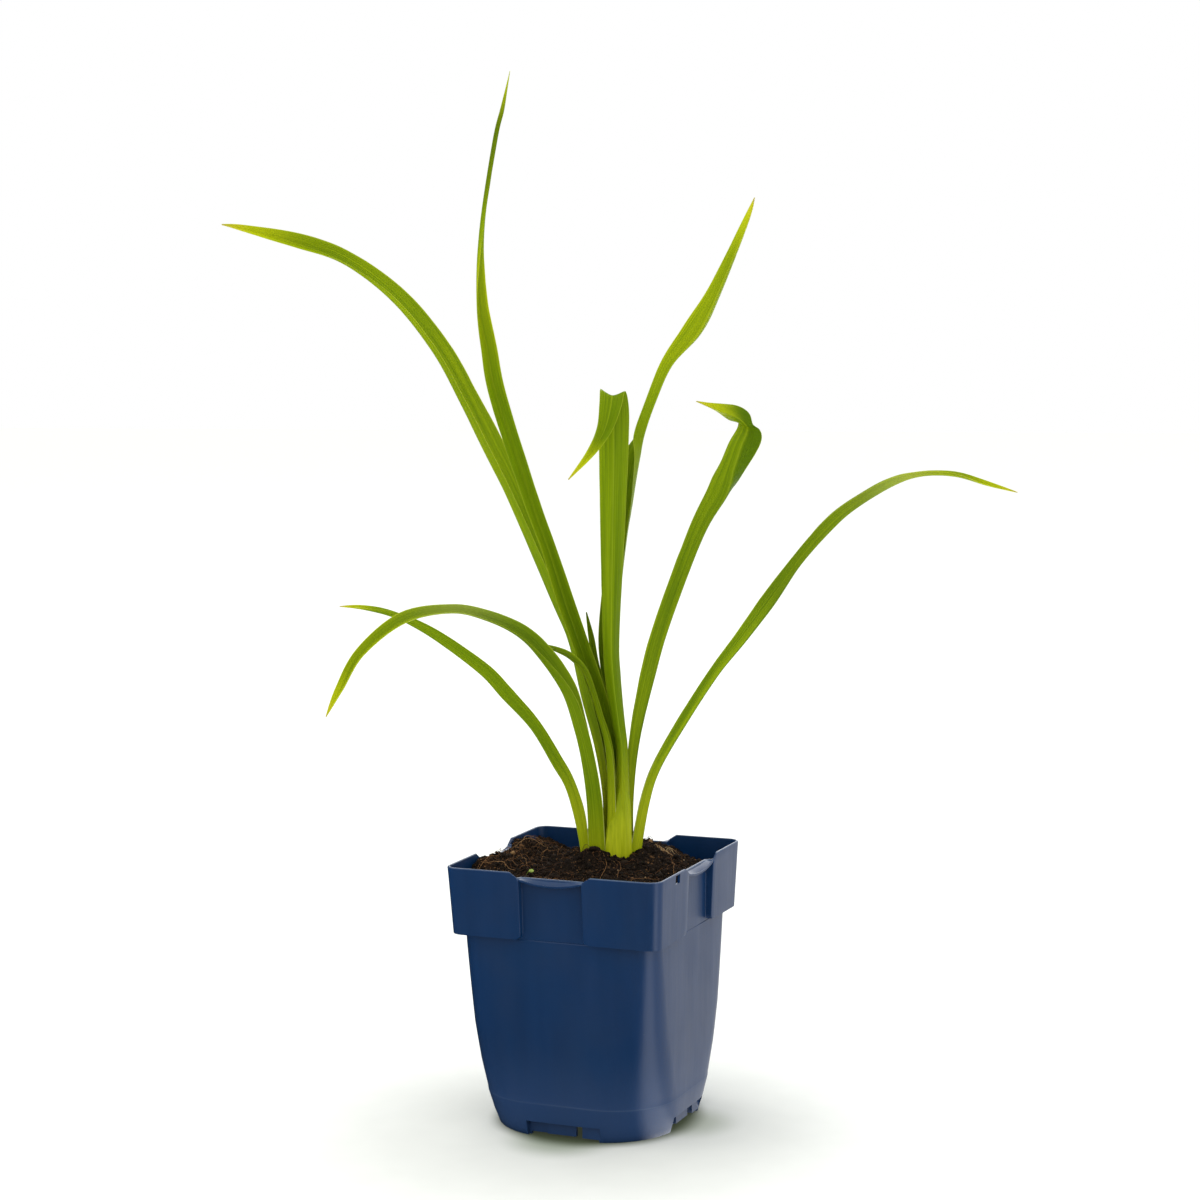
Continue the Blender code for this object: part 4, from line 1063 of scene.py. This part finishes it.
def make_crumbs():
    """Dark crumbs, some of them brown and a few pale, and finer grains."""
    crumbs = Scatter(2)
    for index in range(CRUMBS):
        x, y = random_place(1.5)
        radius = 0.25 + 0.8 * random.random() ** 4
        tint = 0.02 + 0.28 * random.random()
        if index % BROWN_EVERY == 0:
            tint = random.uniform(0.45, 0.7)
        if index % PALE_EVERY == 0:
            tint, radius = PALE_SPECK
        centre = (x, y, soil_height(x, y) + radius * 0.25)
        crumbs.lump(centre, radius, tint, random.uniform(0.8, 1.7))
    material = tinted_material("crumbs", CRUMB_TINTS, 0.9)
    crumbs.piece("peat_crumbs", material)
    grains = Scatter(1)
    for _ in range(GRAINS):
        x, y = random_place(0.8)
        radius = random.uniform(0.14, 0.42)
        tint = 0.55 * random.random() ** 1.7
        grains.lump((x, y, soil_height(x, y) + radius * 0.35), radius, tint, random.uniform(0.8, 1.6))
    grains.piece("peat_grains", material)


# Long fibres that stand out: the ends in plan, how high the middle arches, radius and tint.
LONG_FIBRES = (((-40.3, -21.2), (-23.7, -25.1), 1.6, 0.13, 0.66),
               ((6.0, -6.5), (15.0, -30.6), 0.5, 0.12, 0.55),
               ((11.5, -6.0), (21.1, -27.9), 0.4, 0.11, 0.48),
               ((-38.0, -30.0), (-36.5, -12.0), 1.2, 0.11, 0.60),
               ((-39.0, 4.0), (-24.0, 12.0), 2.0, 0.10, 0.72),
               ((-34.0, -8.0), (-20.0, -20.0), 1.0, 0.12, 0.52),
               ((-30.0, 20.0), (-38.0, 6.0), 1.8, 0.10, 0.70),
               ((18.0, 14.0), (30.0, 12.0), 1.4, 0.11, 0.76), ((20.0, 20.0), (24.0, 30.0), 1.5, 0.11, 0.82),
               ((-12.0, -36.0), (2.0, -38.0), 0.8, 0.11, 0.58),
               ((26.0, -34.0), (36.0, -22.0), 0.9, 0.10, 0.52),
               ((30.0, 4.0), (38.0, -12.0), 1.0, 0.10, 0.60))
LONG_FIBRE_THINNER = 0.75
LEFT_FIBRES = 48
LEFT_PATCH = ((-41, -18), (-26, 24))  # where they start, across and in depth
LEFT_LIMIT = -39.5
TUFT = ((21.9, 17.5), 3.0)  # a little heap of tan fibres: middle and spread
TUFT_FIBRES = 26
TUFT_LENGTH = 3.5
SHORT_FIBRES = 520
RECESS_ZONE = 16  # how near a side's middle a fibre keeps off the recess, and its limit there
RECESS_LIMIT = 39.6
WALL_LIMIT = 41.0
FIBRE_BOW = 0.05  # sideways, as a share of the length
FIBRE_STEPS = 6
FIBRE_TINTS = [(0.0, (0.03, 0.015, 0.008)), (0.35, (0.12, 0.05, 0.018)), (0.6, (0.30, 0.15, 0.06)),
               (0.85, (0.50, 0.33, 0.16)), (1.0, (0.62, 0.52, 0.30))]


def lying_fibre(start, end, arch):
    """Points of a fibre that lies over the peat between two places, its middle arched up."""
    bow = Vector((start[1] - end[1], end[0] - start[0])) * FIBRE_BOW
    points = []
    for step in range(FIBRE_STEPS + 1):
        share = step / FIBRE_STEPS
        sway = sin(pi * share) + 0.5 * sin(tau * share)
        x = start[0] + share * (end[0] - start[0]) + bow.x * sway
        y = start[1] + share * (end[1] - start[1]) + bow.y * sway
        points.append((x, y, soil_height(x, y) + 0.15 + arch * sin(pi * share)))
    return points


def short_fibre(index):
    """Points of a short fibre that wanders over the peat, and how far to the left it ends.

    Each fourth one arches up.
    """
    x, y = random_place(2.5)
    heading = random.uniform(0, tau)
    bend = random.uniform(-0.5, 0.5)
    length = random.uniform(2, 9)
    lift = random.uniform(0.2, 1.8) if index % 4 == 0 else 0.2
    points = []
    steps = 5
    for step in range(steps + 1):
        share = step / steps
        points.append((x, y, soil_height(x, y) + 0.1 + lift * sin(pi * share)))
        heading += bend * 0.6 + random.uniform(-0.3, 0.3)
        x = held(x + cos(heading) * length / steps, WALL_LIMIT)
        y = held(y + sin(heading) * length / steps, WALL_LIMIT)
        if abs(y) < RECESS_ZONE or abs(x) < RECESS_ZONE:
            x, y = held(x, RECESS_LIMIT), held(y, RECESS_LIMIT)
    return points, clamped(-x / 40)


def make_fibres():
    """Long fibres, finer ones to the left, a tuft, and short ones all over."""
    fibres = Scatter(2)
    for start, end, arch, radius, tint in LONG_FIBRES:
        fibres.fibre(lying_fibre(start, end, arch), LONG_FIBRE_THINNER * radius, tint)
    for _ in range(LEFT_FIBRES):
        x, y = (random.uniform(*limits) for limits in LEFT_PATCH)
        heading = random.uniform(0, tau)
        reach = random.uniform(3, 8)
        end = (max(LEFT_LIMIT, x + reach * cos(heading)), y + reach * sin(heading))
        start = (max(LEFT_LIMIT, x), y)
        tint = random.uniform(0.30, 0.66)
        fibres.fibre(lying_fibre(start, end, random.uniform(0.3, 2.2)), random.uniform(0.035, 0.075), tint)
    for _ in range(TUFT_FIBRES):
        x, y = (middle + random.gauss(0, 0.4) * TUFT[1] for middle in TUFT[0])
        heading = random.uniform(0, tau)
        end = (x + TUFT_LENGTH * cos(heading), y + TUFT_LENGTH * sin(heading))
        fibres.fibre(lying_fibre((x, y), end, random.uniform(0.3, 1.8)), 0.08, random.uniform(0.6, 0.95))
    for index in range(SHORT_FIBRES):
        points, left = short_fibre(index)
        tint = (0.42 + 0.20 * left) * random.random() ** 1.8
        fibres.fibre(points, random.uniform(0.04, 0.09), tint)
    fibres.piece("peat_fibres", tinted_material("fibres", FIBRE_TINTS, 0.7))


# ---- Seedling ----
SEEDLING_FOOT = (-16.0, -31.0)
STALK = ((0, 0, 0), (0.1, 0, 1.0), (0.7, 0, 2.0), (1.7, 0, 2.5))
STALK_RADIUS = 0.16
SEED_LEAF = ((-0.22, 0.25), (-0.2, 0.8), (-0.08, 1.12), (0.08, 1.15), (0.16, 0.85), (0.2, 0.3))


def make_seedling():
    """A weed seedling: a thin stalk with one round seed leaf."""
    foot = Vector((*SEEDLING_FOOT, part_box("seedling")[0].z / MM - 1.0))
    shape = bmesh.new()
    stalk = smooth_rows([tuple(foot + Vector(offset)) for offset in STALK], 4)
    skin(shape, [[Vector(row) + Vector((0, STALK_RADIUS * c, STALK_RADIUS * s)) for c, s in around(8)]
                 for row in stalk])
    middle = foot + Vector((2.3, -0.2, 2.7))
    facing = Vector((0.35, -0.75, 0.56)).normalized()
    side = facing.cross(Vector((0.0, 0.0, 1.0))).normalized()
    rise = side.cross(facing)
    skin(shape, [[middle + facing * depth + side * (0.85 * radius * c) + rise * (0.62 * radius * s)
                  for c, s in around(20)] for depth, radius in SEED_LEAF])
    place(finish_mesh(shape, "weed_seedling", seedling_material(), 60.0), "seedling", "seedling")


# ---- Studio ----
def make_floor():
    shape = bmesh.new()
    bmesh.ops.create_grid(shape, x_segments=2, y_segments=2, size=6.0)
    finish_mesh(shape, "floor", floor_material(), 30.0)


def make_world():
    """White to the eye; soft even light; reflections of a bright backdrop and a dark front."""
    world = bpy.data.worlds.new("studio")
    bpy.context.scene.world = world
    world.use_nodes = True
    world.node_tree.nodes.clear()
    w = Nodes(world.node_tree)
    direction = w.add("TexCoord", output="Generated")
    overhead = w.span(w.xyz(direction)[2], *OVERHEAD)
    brightness = w.larger(bright_side(w, direction), overhead)
    even, reflected, white = (w.add("Background", (1.0, 1.0, 1.0, 1.0), strength)
                              for strength in (AMBIENT, brightness, 1.0))
    rays = w.add("LightPath").node.outputs
    lit = w.add("MixShader", rays["Is Glossy Ray"], even, reflected)
    seen = w.add("MixShader", rays["Is Camera Ray"], lit, white)
    w.feed(w.tree.nodes.new("ShaderNodeOutputWorld").inputs[0], seen)


def make_key():
    """One large soft lamp, up to the left; it is kept out of reflections."""
    light = bpy.data.lights.new("key", "AREA")
    light.shape = "SQUARE"
    light.size = KEY_SIZE
    light.energy = KEY_POWER
    lamp = linked("key", light)
    lamp.location = KEY_PLACE
    lamp.rotation_euler = (KEY_TARGET - lamp.location).to_track_quat("-Z", "Y").to_euler()
    lamp.visible_glossy = False


def make_camera():
    azimuth, elevation = CAMERA_AZIMUTH, CAMERA_ELEVATION
    back = Vector((sin(azimuth) * cos(elevation), -cos(azimuth) * cos(elevation), sin(elevation)))
    right = Vector((cos(azimuth), sin(azimuth), 0.0))
    up = back.cross(right)
    turn = Matrix.Rotation(CAMERA_ROLL, 3, back)
    axes = Matrix((turn @ right, turn @ up, back)).transposed().to_4x4()
    side, height = CAMERA_TARGET
    target = Vector((cos(azimuth) * side, sin(azimuth) * side, height))
    data = bpy.data.cameras.new("camera")
    data.sensor_width = 36.0
    data.lens = CAMERA_LENS
    camera = linked("camera", data)
    camera.matrix_world = Matrix.Translation((target + back * CAMERA_DISTANCE) * MM) @ axes
    bpy.context.scene.camera = camera


def main():
    bpy.context.scene.view_settings.view_transform = "Standard"
    make_pot()
    make_peat()
    make_crumbs()
    make_fibres()
    make_sheath()
    make_leaves()
    make_seedling()
    make_floor()
    make_world()
    make_key()
    make_camera()


main()
